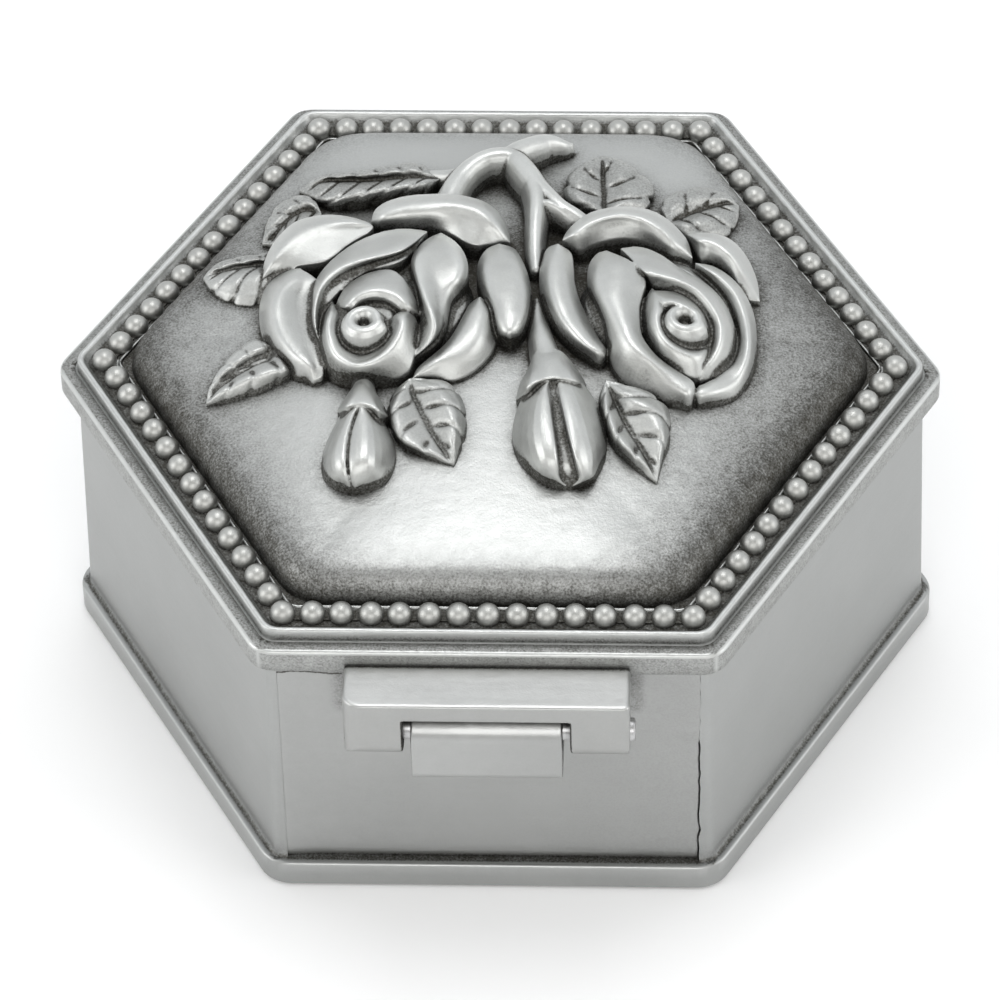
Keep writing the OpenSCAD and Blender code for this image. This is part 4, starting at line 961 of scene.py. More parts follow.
            [(2.86, -10.72, 2.9), (3.79, -10.24, 3.2), (4.8, -10.04, 3.4), (5.9, -9.95, 3.3), (7.08, -9.76, 2.8)],
        ]),
    ],
    "rose_leaves": [
        dict(s=(-19.39, -2.79, 0.9), e=(-24.84, -8.23, 0.4), edge="rr", veins=4, vd=0.3, rows=[
            [(-17.55, -5.29, 0.3), (-18.02, -6.28, 0.2), (-19.54, -7.11, 0.2), (-21.24, -7.74, 0.15), (-23.12, -8.15, 0.15)],
            [(-18.16, -5.89, 1.5), (-19.51, -6.51, 1.6), (-20.78, -6.91, 1.6), (-22.15, -7.43, 1.4), (-23.6, -7.95, 1.1)],
            [(-18.85, -4.51, 1.2), (-20.19, -5.25, 1.3), (-21.46, -5.89, 1.2), (-22.64, -6.65, 1.1), (-23.82, -7.41, 0.9)],
            [(-19.89, -3.47, 0.7), (-20.98, -4.14, 0.7), (-22.06, -4.91, 0.7), (-23.15, -5.68, 0.6), (-24.14, -6.78, 0.5)],
            [(-20.22, -3.2, 1.3), (-21.39, -3.84, 1.4), (-22.4, -4.63, 1.3), (-23.48, -5.53, 1.1), (-24.31, -6.58, 0.8)],
            [(-20.84, -1.67, 1), (-22.18, -2.57, 1), (-23.08, -3.61, 0.9), (-23.97, -4.99, 0.7), (-24.67, -6.59, 0.5)],
        ]),
        dict(s=(-18.75, 6.09, 1.2), e=(-26.12, 7.44, 0.4), edge="rr", veins=4, vd=0.3, rows=[
            [(-20.27, 9.14, 0.9), (-22.05, 9.31, 0.9), (-23.65, 9.3, 0.8), (-25.14, 8.84, 0.6)],
            [(-20.34, 7.77, 1.5), (-21.93, 7.89, 1.5), (-23.45, 7.98, 1.3), (-24.87, 7.89, 1)],
            [(-20.54, 7.79, 0.9), (-22.05, 7.91, 0.9), (-23.47, 7.86, 0.8), (-24.89, 7.79, 0.6)],
            [(-20.38, 5.58, 1.5), (-21.96, 5.55, 1.5), (-23.38, 5.6, 1.3), (-24.84, 6.06, 1)],
            [(-20.13, 3.5, 0.3), (-21.7, 3.29, 0.2), (-23.49, 3.84, 0.2), (-25.18, 5.37, 0.2)],
        ]),
        dict(s=(-15.92, 13.68, 1.2), e=(-21.14, 11.27, 0.4), edge="rr", veins=4, vd=0.3, rows=[
            [(-16.78, 16.16, 1), (-17.88, 16.82, 1.1), (-19.13, 16.74, 1), (-20.31, 15.51, 0.9), (-20.91, 13.57, 0.7)],
            [(-16.77, 14.87, 1.5), (-17.77, 15.21, 1.6), (-18.81, 14.83, 1.6), (-19.74, 13.81, 1.4), (-20.54, 12.18, 1.1)],
            [(-16.78, 14.61, 1), (-17.67, 14.64, 1.1), (-18.52, 14.08, 1.1), (-19.36, 13.07, 1), (-20.18, 11.87, 0.7)],
            [(-16.66, 12.89, 1.5), (-17.36, 12.72, 1.5), (-18.14, 12.26, 1.4), (-18.9, 11.49, 1.2), (-19.76, 10.87, 0.9)],
            [(-16.56, 12.16, 0.9), (-17.18, 12.1, 0.8), (-17.88, 11.74, 0.6), (-18.64, 11.14, 0.5), (-19.5, 10.56, 0.4)],
        ]),
        dict(s=(-5.68, 17.98, 1.2), e=(-18.26, 18.32, 0.5), edge="rr", veins=6, vd=0.3, rows=[
            [(-7.58, 20.69, 1), (-9.79, 20.57, 1.1), (-11.99, 20.09, 1.1), (-14.21, 19.74, 1), (-16.44, 19.64, 0.8)],
            [(-7.65, 18.87, 1.7), (-9.77, 18.8, 1.8), (-11.89, 18.5, 1.8), (-14.03, 18.57, 1.6), (-16.2, 18.83, 1.2)],
            [(-7.65, 18.44, 1.2), (-9.69, 18.5, 1.2), (-11.9, 18.35, 1.2), (-14.05, 18.59, 1.1), (-16.22, 18.9, 0.9)],
            [(-7.37, 16.57, 2), (-9.38, 16.23, 2), (-11.57, 15.81, 2), (-13.78, 15.6, 1.8), (-16.07, 16.38, 1.2)],
            [(-7.03, 16.26, 0.8), (-8.97, 15.89, 0.7), (-11.26, 15.58, 0.6), (-13.55, 15.25, 0.5), (-15.89, 15.72, 0.4)],
        ]),
        dict(s=(-7.24, -7.86, 1.2), e=(-3.2, -16.54, 0.3), edge="rr", veins=4, vd=0.3, rows=[
            [(-8.61, -8.63, 0.4), (-9.14, -10.32, 0.3), (-8.89, -12.25, 0.2), (-7.97, -14.04, 0.2), (-6.3, -15.24, 0.15), (-4.66, -16.11, 0.15)],
            [(-8.09, -9.91, 1.5), (-8.43, -11.87, 1.7), (-8.11, -13.53, 1.7), (-7.3, -14.91, 1.5), (-6.01, -15.53, 1.2), (-4.48, -16.04, 0.8)],
            [(-7.03, -9.15, 1), (-6.46, -10.62, 1), (-5.89, -11.97, 1), (-5.25, -13.32, 0.9), (-4.61, -14.54, 0.8), (-3.9, -15.65, 0.6)],
            [(-5.28, -9.51, 1.7), (-4.3, -10.73, 1.9), (-3.65, -12.06, 1.9), (-3.35, -13.5, 1.8), (-3.32, -14.74, 1.5), (-3.29, -15.78, 1)],
            [(-4.51, -7.88, 0.9), (-3.29, -8.74, 0.7), (-2.56, -10.13, 0.5), (-2.25, -11.92, 0.4), (-2.36, -13.67, 0.3), (-2.74, -15.19, 0.2)],
        ]),
        dict(s=(9.5, -7.94, 1.4), e=(13.98, -17.67, 0.3), edge="rr", veins=4, vd=0.3, rows=[
            [(8.92, -9.24, 0.8), (9.04, -11.07, 0.6), (9.5, -12.83, 0.5), (10.29, -14.35, 0.3), (11.5, -15.69, 0.2), (12.79, -16.87, 0.2)],
            [(9.47, -10.58, 1.8), (9.84, -12.43, 1.9), (10.38, -14.04, 1.9), (11.16, -15.2, 1.8), (12.19, -16.03, 1.5), (13.12, -16.67, 1)],
            [(10.39, -10.17, 1.2), (10.93, -11.56, 1.3), (11.54, -12.86, 1.2), (12.24, -14.02, 1.1), (12.85, -15.09, 0.9), (13.37, -16.26, 0.7)],
            [(11.76, -10.52, 2.2), (12.88, -11.16, 2.3), (13.74, -12.19, 2.2), (14.18, -13.39, 2), (14.28, -14.55, 1.6), (14.13, -15.87, 1.1)],
            [(12.41, -8.76, 1.6), (13.95, -9.32, 1.3), (14.9, -10.29, 0.9), (15.09, -11.88, 0.6), (14.94, -13.59, 0.4), (14.38, -15.66, 0.3)],
        ]),
        dict(s=(8.9, 13.63, 1.0), e=(8.63, 22.15, 0.9), edge="rr", veins=3, vd=0.3, rows=[
            [(7.65, 14.13, 0.5), (6.24, 14.65, 0.7), (5.32, 16.22, 0.8), (5.52, 18.8, 0.9), (6.63, 20.55, 1), (7.84, 21.68, 1)],
            [(8.01, 14.21, 1.3), (6.94, 14.88, 1.5), (6.47, 16.17, 1.6), (6.78, 17.95, 1.6), (7.54, 19.47, 1.5), (8.22, 20.82, 1.3)],
            [(8.87, 14.73, 0.9), (8.85, 15.89, 1), (8.82, 17.17, 1), (8.71, 18.62, 1), (8.68, 19.98, 1), (8.66, 21.07, 1)],
            [(9.94, 14.12, 1.5), (10.89, 14.95, 1.7), (11.31, 16.27, 1.7), (11.02, 17.79, 1.6), (10.2, 19.15, 1.5), (9.29, 20.55, 1.3)],
            [(11.17, 14.16, 0.6), (12.47, 14.93, 0.8), (13.16, 16.46, 0.9), (13.04, 18.31, 1), (11.95, 20.06, 1), (10.15, 21.59, 1)],
        ]),
        dict(s=(14.52, 12.94, 1.0), e=(20.74, 16.81, 0.7), edge="rr", veins=3, vd=0.3, rows=[
            [(13.78, 15.58, 0.9), (15, 17.22, 1), (16.58, 18.24, 1), (18.17, 18.44, 1), (19.67, 18.03, 0.9)],
            [(14.85, 14.48, 1.4), (15.9, 15.56, 1.6), (17.12, 16.36, 1.6), (18.44, 16.76, 1.5), (19.76, 16.97, 1.2)],
            [(15.56, 13.93, 0.9), (16.61, 14.7, 1), (17.66, 15.47, 1), (18.8, 16.14, 1), (19.86, 16.89, 0.8)],
            [(16.02, 12.34, 1.5), (17.06, 12.83, 1.6), (18.2, 13.33, 1.6), (19.16, 14.32, 1.4), (20.04, 15.57, 1.1)],
            [(16.3, 11.09, 0.7), (17.52, 11.3, 0.7), (18.92, 11.96, 0.6), (20.05, 13.15, 0.5), (20.66, 15.13, 0.5)],
        ]),
    ],
}
LIMBS = {
    "rosebud_left": [
        [(-11.37, -7.31, 1.6, 0.7), (-11.16, -9.48, 2.2, 0.9), (-11.08, -10.99, 2.6, 1.2)],
    ],
    "rosebud_right": [
        [(3.35, 1.69, 0.9, 0.5), (3.51, -0.79, 1.4, 0.7), (3.94, -3.64, 2.1, 0.95), (4.43, -5.87, 2.5, 1.25), (4.82, -7.74, 2.8, 1.75)],
    ],
    "rose_branch": [
        [(0.11, 20.17, 2.8, 1), (1.05, 21.15, 2.9, 1.15), (2.17, 22.1, 2.8, 1.15), (3.3, 23.01, 2.5, 1.1), (4.26, 23.26, 2.2, 0.9), (5.06, 23.32, 1.8, 0.6), (5.76, 23.52, 1.3, 0.22)],
        [(1.66, 18.66, 2.9, 0.8), (0.66, 19.78, 3.1, 1.02), (-0.41, 19.95, 3.2, 1.1), (-1.72, 19.6, 3.1, 1.1), (-2.93, 18.6, 2.9, 1.1), (-3.85, 17.3, 2.6, 1.15), (-4.5, 15.61, 2.4, 1.2), (-4.96, 13.82, 2.1, 1.25)],
        [(-3.72, 18.26, 2.2, 0.85), (-4.98, 18.44, 1.8, 0.75), (-6.24, 18.81, 1.5, 0.6), (-7.5, 19.19, 1.2, 0.45)],
        [(-0.16, 20.35, 2.9, 0.9), (1.02, 19.48, 3.1, 1.15), (2.06, 17.52, 3.2, 1.22), (2.99, 15.66, 3.15, 1.1), (3.99, 14.26, 3, 0.98), (5.07, 12.98, 2.8, 0.9), (6.49, 12.14, 2.4, 0.8), (7.73, 11.27, 1.9, 0.7)],
        [(2.33, 17.2, 3.1, 1), (2.82, 15.4, 3.12, 1), (3.05, 13.69, 3.1, 0.92), (3.05, 12.02, 2.95, 0.82), (3, 10.42, 2.65, 0.74), (3, 8.83, 2.25, 0.68), (3.04, 7.26, 1.85, 0.62), (3.16, 5.64, 1.4, 0.55)],
        [(3.14, 13.14, 2.6, 0.6), (4.03, 12.82, 2.9, 0.55), (5.09, 12.38, 2.6, 0.5), (6.15, 11.75, 2, 0.45)],
    ],
}
DISCS = {
    "rose_left": [
        dict(c=(-11.29, -3.82), swirl=0.24, prof=[(0, 3.5), (0.34, 3.5), (0.5, 4.0), (0.85, 4.45), (1.2, 4.6), (1.55, 4.5), (1.9, 4.05), (2.1, 3.3)]),
        dict(c=(-11.46, -2.66), swirl=0, prof=[(0, 3.15), (2.5, 3.15), (3.0, 2.7), (3.3, 1.5)]),
        dict(c=(-9.94, 0.15), swirl=0, prof=[(0, 2.7), (2.8, 2.7), (3.6, 2.2), (4.0, 1.2)]),
        dict(c=(-9.36, 1.55), swirl=0, prof=[(0, 1.6), (5.6, 1.5), (6.6, 1.1), (7.1, 0.5), (7.4, -0.3)]),
    ],
    "rose_right": [
        dict(c=(16.18, -2.82), swirl=0.25, prof=[(0, 3.5), (0.36, 3.5), (0.52, 4.0), (0.85, 4.5), (1.2, 4.65), (1.55, 4.45), (1.85, 3.9), (2.0, 3.0)]),
        dict(c=(15.91, -2.06), swirl=0, prof=[(0, 2.9), (2.6, 2.9), (3.1, 2.4), (3.4, 1.4)]),
        dict(c=(13.81, 1.22), swirl=0, prof=[(0, 1.9), (5.2, 1.7), (6.2, 1.2), (6.8, 0.6), (7.1, -0.3)]),
    ],
}


# ---------------------------------------------------------------- the roses, buds, leaves and branch
def spline(p, n):
    """Catmull-Rom through the rows of p, sampled n times at even lengths."""
    p = np.asarray(p, float)
    d = np.linalg.norm(np.diff(p[:, :2], axis=0), axis=1) + 1e-6
    q = np.vstack([2 * p[0] - p[1], p, 2 * p[-1] - p[-2]])
    out = []
    for i in range(len(p) - 1):
        a, b, c, e = q[i:i + 4]
        t = np.linspace(0, 1, 12, endpoint=False)[:, None]
        out.append(0.5 * (2 * b + (c - a) * t + (2 * a - 5 * b + 4 * c - e) * t ** 2 + (3 * b - a - 3 * c + e) * t ** 3))
    out = np.vstack(out + [p[-1:]])
    s = np.concatenate([[0], np.cumsum(np.linalg.norm(np.diff(out, axis=0), axis=1))])
    u = np.linspace(0, s[-1], n)
    return np.stack([np.interp(u, s, out[:, k]) for k in range(p.shape[1])], 1)


def across(rows, m):
    """Rows of the grid, interpolated across to m rows."""
    rows = np.asarray(rows)
    k = len(rows)
    q = np.concatenate([[2 * rows[0] - rows[1]], rows, [2 * rows[-1] - rows[-2]]])
    out = []
    for u in np.linspace(0, k - 1, m):
        i = min(int(u), k - 2)
        t = u - i
        a, b, c, e = q[i:i + 4]
        out.append(0.5 * (2 * b + (c - a) * t + (2 * a - 5 * b + 4 * c - e) * t ** 2 + (3 * b - a - 3 * c + e) * t ** 3))
    return np.array(out)


def closed_grid(name, g, low=-0.35):
    """g is (rows, columns, 3) of x, y and height above the dome; the rows meet at both ends."""
    m, n = g.shape[:2]
    g = g.copy()
    g[..., 2] = np.maximum(g[..., 2], -0.15)
    base = dome(g[..., 0], g[..., 1])
    top = np.dstack([g[..., 0], g[..., 1], base + g[..., 2]])
    bot = np.dstack([g[..., 0], g[..., 1], base + low])
    v = np.vstack([top.reshape(-1, 3), bot.reshape(-1, 3)])
    idx = np.arange(m * n).reshape(m, n)
    off = m * n
    a, b, c, d = idx[:-1, :-1].ravel(), idx[:-1, 1:].ravel(), idx[1:, 1:].ravel(), idx[1:, :-1].ravel()
    f = [np.c_[a, b, c, d], np.c_[a, d, c, b] + off]
    for r, s in ((0, 1), (m - 1, -1)):
        p, q = idx[r, :-1], idx[r, 1:]
        w = np.c_[p, p + off, q + off, q]
        f.append(w if s > 0 else w[:, ::-1])
    ob = new_mesh(name, v, np.vstack(f))
    bm = bmesh.new()
    bm.from_mesh(ob.data)
    bmesh.ops.remove_doubles(bm, verts=bm.verts, dist=2e-6)
    bm.to_mesh(ob.data)
    bm.free()
    return ob


def petal(name, d):
    rows = []
    for r in d["rows"]:
        rows.append(spline([d["s"]] + list(r) + [d["e"]], 56 if d["veins"] == 0 else 90))
    g = across(rows, 22 if d["veins"] == 0 else 46)
    if d["veins"]:
        m, n = g.shape[:2]
        u = np.linspace(0, 1, n)[None, :]
        w = np.abs(np.linspace(-1, 1, m))[:, None]
        side = np.linspace(-1, 1, m)[:, None] > 0
        k = d["veins"]
        ph = (u - 0.24 * w - 0.5 * side / k) * (k + 0.6)
        groove = np.exp(-(np.abs(ph - np.round(ph)) / 0.10) ** 1.5) * np.clip(u * 6, 0, 1) * np.clip((1 - u) * 6, 0, 1)
        groove = groove * np.clip(w * 5 - 0.2, 0, 1)
        rib = np.exp(-(w / 0.06) ** 1.5) * np.clip(u * 5, 0, 1) * np.clip((1 - u) * 5, 0, 1)
        rim = np.exp(-((w - 0.86) / 0.09) ** 2)
        g[..., 2] -= (d["vd"] + 0.12) * groove * np.clip(1.15 - w, 0, 1) + 0.30 * rib - 0.14 * rim
        mid = g[m // 2][None, :, :2]
        pull = 1 - 0.10 * groove * w ** 4
        g[..., :2] = mid + (g[..., :2] - mid) * pull[..., None]
    return closed_grid(name, g)


def limb(name, pts, low=-0.35):
    p = spline(pts, 40)
    # rounded ends
    t0, t1 = p[0, :2] - p[1, :2], p[-1, :2] - p[-2, :2]
    t0, t1 = t0 / np.linalg.norm(t0), t1 / np.linalg.norm(t1)
    head, tail = [], []
    for k in (0.98, 0.85, 0.6, 0.3):
        r = p[0, 3] * math.sqrt(1 - k * k)
        head.append([*(p[0, :2] + t0 * k * p[0, 3]), p[0, 2] - (p[0, 3] - r) * 0.8, r])
        r = p[-1, 3] * math.sqrt(1 - k * k)
        tail.append([*(p[-1, :2] + t1 * k * p[-1, 3]), p[-1, 2] - (p[-1, 3] - r) * 0.8, r])
    p = np.vstack([head, p, tail[::-1]])
    tan = np.gradient(p[:, :2], axis=0)
    tan /= np.linalg.norm(tan, axis=1)[:, None] + 1e-9
    nor = np.c_[-tan[:, 1], tan[:, 0]]
    a = np.linspace(0, math.pi, 15)
    g = np.zeros((15, len(p), 3))
    for j, t in enumerate(a):
        k = math.cos(t)
        g[j, :, :2] = p[:, :2] + nor * ((p[:, 3] + 0.28 * abs(k) ** 3) * k)[:, None]
        g[j, :, 2] = p[:, 2] - p[:, 3] * (1 - math.sin(t)) - (p[:, 2] - p[:, 3]) * 0.6 * abs(k) ** 5
    first, last = p[0], p[-1]
    tip0 = np.r_[first[:2] + t0 * 0.02, first[2] - first[3]]
    tip1 = np.r_[last[:2] + t1 * 0.02, last[2] - last[3]]
    g = np.concatenate([np.tile(tip0, (15, 1))[:, None], g, np.tile(tip1, (15, 1))[:, None]], 1)
    return closed_grid(name, g, low)


def coil(name, d):
    """A low round boss with a hollow in the middle, its rim running round as a spiral."""
    cx, cy = d["c"]
    pr = d["prof"]
    n = 72
    a = np.linspace(0, 2 * math.pi, n, endpoint=False)
    w = a / (2 * math.pi)
    w = np.where(w > 0.94, 0.94 * (1 - w) / 0.06, w)
    rings = []
    for r, t in pr:
        if r == 0:
            rings.append(np.array([[cx, cy, float(dome(cx, cy)) + t]]))
            continue
        rr = r * (1 + d["swirl"] * (w - 0.5))
        x, y = cx + rr * np.cos(a), cy + rr * np.sin(a)
        rings.append(np.c_[x, y, dome(x, y) + t])
    r = pr[-1][0] * (1 + d["swirl"] * (w - 0.5))
    x, y = cx + r * np.cos(a), cy + r * np.sin(a)
    rings.append(np.c_[x, y, dome(x, y) - 0.35])
    rings.append(np.array([[cx, cy, float(dome(cx, cy)) - 0.35]]))
    v, f = loft(rings)
    return new_mesh(name, v, f)


def remesh(ob, voxel, smooth):
    me = ob.data
    me.vertices.foreach_set("co", co_mm(ob).astype(np.float32).ravel())
    me.update()
    m = ob.modifiers.new("one", "REMESH")
    m.mode = "VOXEL"
    m.voxel_size = voxel
    m.use_smooth_shade = True
    s = ob.modifiers.new("soft", "SMOOTH")
    s.factor, s.iterations = 0.5, smooth
    apply_modifiers(ob)
    co = np.empty(len(ob.data.vertices) * 3, np.float32)
    ob.data.vertices.foreach_get("co", co)
    ob.data.vertices.foreach_set("co", (co * MM).astype(np.float32))
    ob.data.update()
    return ob


VOXEL = 0.1


def relief_piece(name, out_name):
    parts = [petal("p", d) for d in PETALS.get(name, [])]
    parts += [limb("l", pts) for pts in LIMBS.get(name, [])]
    parts += [coil("c", d) for d in DISCS.get(name, [])]
    ob = parts[0]
    if len(parts) > 1:
        join(ob, parts[1:])
    ob.name = out_name
    remesh(ob, VOXEL, 3)
    ob.data.polygons.foreach_set("use_smooth", np.ones(len(ob.data.polygons), bool))
    return ob


RELIEF = {}
for nm, out in (("rose_left", "rose_left_petals"), ("rose_right", "rose_right_petals"), ("rosebud_left", "bud_left"),
                ("rosebud_right", "bud_right"), ("rose_leaves", "leaf_group"), ("rose_branch", "branch_stem")):
    RELIEF[nm] = relief_piece(nm, out)
    print("relief", nm, len(RELIEF[nm].data.polygons), [round(v * 1000, 1) for v in RELIEF[nm].dimensions], flush=True)

# height map of the lid's top, 0.12 mm apart, for the patina and painted shade that lie where the metal is shut in
CELL, HALF = 0.12, 33.0
NG = int(2 * HALF / CELL) + 1


def height_map():
    ax = -HALF + CELL * np.arange(NG)
    X, Y = np.meshgrid(ax, ax, indexing="ij")
    H = dome(X, Y)
    for ob in RELIEF.values():
        c = co_mm(ob)
        i = np.clip(np.round((c[:, 0] + HALF) / CELL).astype(int), 0, NG - 1)
        j = np.clip(np.round((c[:, 1] + HALF) / CELL).astype(int), 0, NG - 1)
        np.maximum.at(H, (i, j), c[:, 2])
    return X, Y, H


def blur(h, r):
    """Box blur of radius r cells, three times."""
    k = 2 * r + 1
    for _ in range(3):
        for ax in (0, 1):
            p = np.pad(h, [(r + 1, r) if a == ax else (0, 0) for a in (0, 1)], mode="edge")
            c = np.cumsum(p, axis=ax)
            h = (np.take(c, range(k, c.shape[ax]), ax) - np.take(c, range(0, c.shape[ax] - k), ax)) / k
    return h


HX, HY, HM = height_map()
DOME_MAP = dome(HX, HY)


def sample(M, x, y):
    u = np.clip((x + HALF) / CELL, 0, NG - 1.001)
    v = np.clip((y + HALF) / CELL, 0, NG - 1.001)
    i, j = u.astype(int), v.astype(int)
    a, b = u - i, v - j
    return (M[i, j] * (1 - a) * (1 - b) + M[i + 1, j] * a * (1 - b) + M[i, j + 1] * (1 - a) * b + M[i + 1, j + 1] * a * b)


def shut_in(c, reach=3.2):
    """0 in the open, towards 1 at the bottom of a narrow place."""
    acc = np.zeros(len(c))
    ds = np.array([0.2, 0.35, 0.55, 0.8, 1.1, 1.5, 2.0, 2.6, reach])
    for k in range(16):
        a = 2 * math.pi * (k + 0.5) / 16
        top = np.zeros(len(c))
        for d in ds:
            h = sample(HM, c[:, 0] + d * math.cos(a), c[:, 1] + d * math.sin(a)) - c[:, 2] - 0.02
            top = np.maximum(top, h / d)
        acc += top * top / (1 + top * top)
    return acc / 16


RAISED = blur((HM - DOME_MAP > 0.25).astype(float), 5)
RAISED_WIDE = blur((HM - DOME_MAP > 0.25).astype(float), 16)
SMOOTH_H = blur(HM, 6)
FINE_H = blur(HM, 2)


def relief_looks():
    for nm, ob in RELIEF.items():
        c = co_mm(ob)
        s = shut_in(c)
        up = c[:, 2] - sample(SMOOTH_H, c[:, 0], c[:, 1])
        t = c[:, 2] - dome(c[:, 0], c[:, 1])
        thin = c[:, 2] - sample(FINE_H, c[:, 0], c[:, 1])
        bud = nm.startswith("rosebud")
        # patina and painted shade where the sky is hidden and in hollows
        patina_shade = np.clip((s - 0.42) * 2.2, 0, 0.8) if bud else np.clip((s - 0.33) * 2.3, 0, 0.85)
        patina_shade = np.maximum(patina_shade, np.clip(-up * (0.18 if bud else 0.46), 0, 0.62) * (s > 0.12))
        # painted shade on the low sides at the foot of each piece
        patina_shade = np.maximum(patina_shade, (0.34 if bud else 0.46) * np.clip(1 - t / 0.22, 0, 1))
        if nm == "rose_leaves":
            # the leaves are darker throughout, and more so at the back (y > 8)
            patina_shade = np.clip(0.15 + 0.17 * (c[:, 1] > 8) + 0.86 * np.maximum(patina_shade * 0.85, np.clip(-(thin + 0.016) * 9, 0, 0.66)), 0, 1)
        else:
            patina_shade = np.maximum(patina_shade, np.clip(-(thin + 0.03) * 8, 0, 0.78) * (s > 0.06))
        # lighter on raised, open points: rubbed wear and painted highlights
        wear_and_highlight = np.clip((up - 0.10) / 0.45, 0, 1) * np.clip(1 - s * 4, 0, 1)
        set_attr(ob, "patina_and_shade", np.clip(patina_shade, 0, 1))
        set_attr(ob, "wear_and_highlight", wear_and_highlight)
        finish_piece(ob, "lid", "pewter_relief", PEWTER_RELIEF, nm)


relief_looks()



def lid_looks():
    c = co_mm(LID)
    x, y, z = c.T
    ap = sides(x, y).max(0)
    patina_shade = np.zeros(len(c))
    on = z > 29.9
    # patina and painted shade in the groove, the channel between the beads, the moat and the shoulder
    patina_shade = np.maximum(patina_shade, 0.95 * np.exp(-((ap - 32.2) / 0.13) ** 2) * on * (z < 30.6))
    patina_shade = np.maximum(patina_shade, 0.52 * (ap > 32.1) * (ap < 33.15) * on)
    patina_shade = np.maximum(patina_shade, 0.8 * (ap < 31.25) * (ap > 28.9) * (z < 30.6) * on)
    patina_shade = np.maximum(patina_shade, 0.45 * np.clip((31.5 - ap) / 0.3, 0, 1) * (ap > 31.0) * on)
    patina_shade = np.maximum(patina_shade, 0.85 * (ap < 28.66) * (z < 30.8) * (ap > 27) * on)
    g = gauge(x, y)
    crown = (g < 28.42) & (ap < 28.6) & on
    d = np.clip(FOOT - g, 0, 40)
    edge = 0.66 * np.exp(-(d / 2.0) ** 1.3)
    # the crown is darker towards both sides, more on the right, and lightest at the back: partly patina, partly a
    # painted reflection of darker surroundings
    side = np.clip((np.abs(x + 1.5) - 9) / 13, 0, 1)
    wide = (0.18 + 0.26 * (x > 0)) * side * np.clip((19 - y) / 12, 0, 1) * np.exp(-d / 16)
    near = 0.40 * np.exp(-(np.maximum(d - 1.0, 0) / 4.0) ** 1.2) * np.clip((np.abs(x) - 8) / 10, 0, 1) * np.clip((20 - y) / 10, 0, 1)
    # patina and painted shade round the foot of the relief, lighter at the front
    halo = 0.62 * np.clip(sample(RAISED, x, y) * 1.5, 0, 1) ** 0.9 + 0.26 * np.clip(sample(RAISED_WIDE, x, y) * 1.3, 0, 1)
    front = np.clip((-4 - y) / 6, 0, 1)
    halo = halo * (1 - 0.5 * front)
    shut = np.clip((shut_in(c) - 0.13 - 0.06 * front) * (2.0 - 0.9 * front), 0, 0.95) * crown * (d > 0.6)
    pat = 1 - (1 - edge) * (1 - wide) * (1 - near) * (1 - np.clip(halo, 0, 0.9))
    patina_shade = np.where(crown, np.maximum(patina_shade, np.maximum(pat, shut)), patina_shade)
    # darker low on the rim and over the skirt: patina and painted shade
    patina_shade = np.maximum(patina_shade, 0.18 * (ap > 33.2) * np.clip(1 - (z - 27.5) / 0.8, 0, 1))
    patina_shade = np.maximum(patina_shade, 0.34 * (ap > 33.3) * (z < 29.7))
    patina_shade = np.where(z < 27.58, 0.16, patina_shade)
    set_attr(LID, "patina_and_shade", np.clip(patina_shade, 0, 1))
    # lighter along the rim's edge, the ridge top and the moat's lip: rubbed wear and painted highlights
    wear_and_highlight = 0.8 * np.clip(1 - np.abs(ap - 33.36) / 0.22, 0, 1) * (z > 29.7) + np.clip(1 - np.abs(ap - 31.75) / 0.18, 0, 1) * (z > 31.0)
    wear_and_highlight = wear_and_highlight + np.clip(1 - np.abs(ap - 28.74) / 0.08, 0, 1) * (z > 30.6) * (z < 30.7)
    set_attr(LID, "wear_and_highlight", np.clip(wear_and_highlight, 0, 1))
    finish_piece(LID, "lid", "pewter", PEWTER_LID, "lid_casting")
    c = co_mm(BEADS)
    # painted shade low on the beads and on the strip between them
    bc = 0.95 * np.clip((30.66 - c[:, 2]) / 0.3, 0, 1)
    bc[BEAD_VERTS:] = 0.82
    set_attr(BEADS, "patina_and_shade", bc)
    # painted highlight on the tops of the beads
    set_attr(BEADS, "wear_and_highlight", np.clip((c[:, 2] - 31.2) / 0.4, 0, 1) * 0.5)
    finish_piece(BEADS, "lid", "pewter_relief", PEWTER_BEAD, "bead_border")


lid_looks()


# ---------------------------------------------------------------- linings
def slab(name, ap, r, z0, z1, edge=0.1):
    ob = lathe_hex(name, [(0, 0, z0), (ap * 0.5, r, z0), (ap - edge, r, z0), (ap, r, z0 + edge), (ap, r, z1 - edge),
                          (ap - edge, r, z1), (ap * 0.5, r, z1), (0, 0, z1)], arc=7, flat=10)
    fix_normals(ob)
    shade(ob, 40)
    return ob


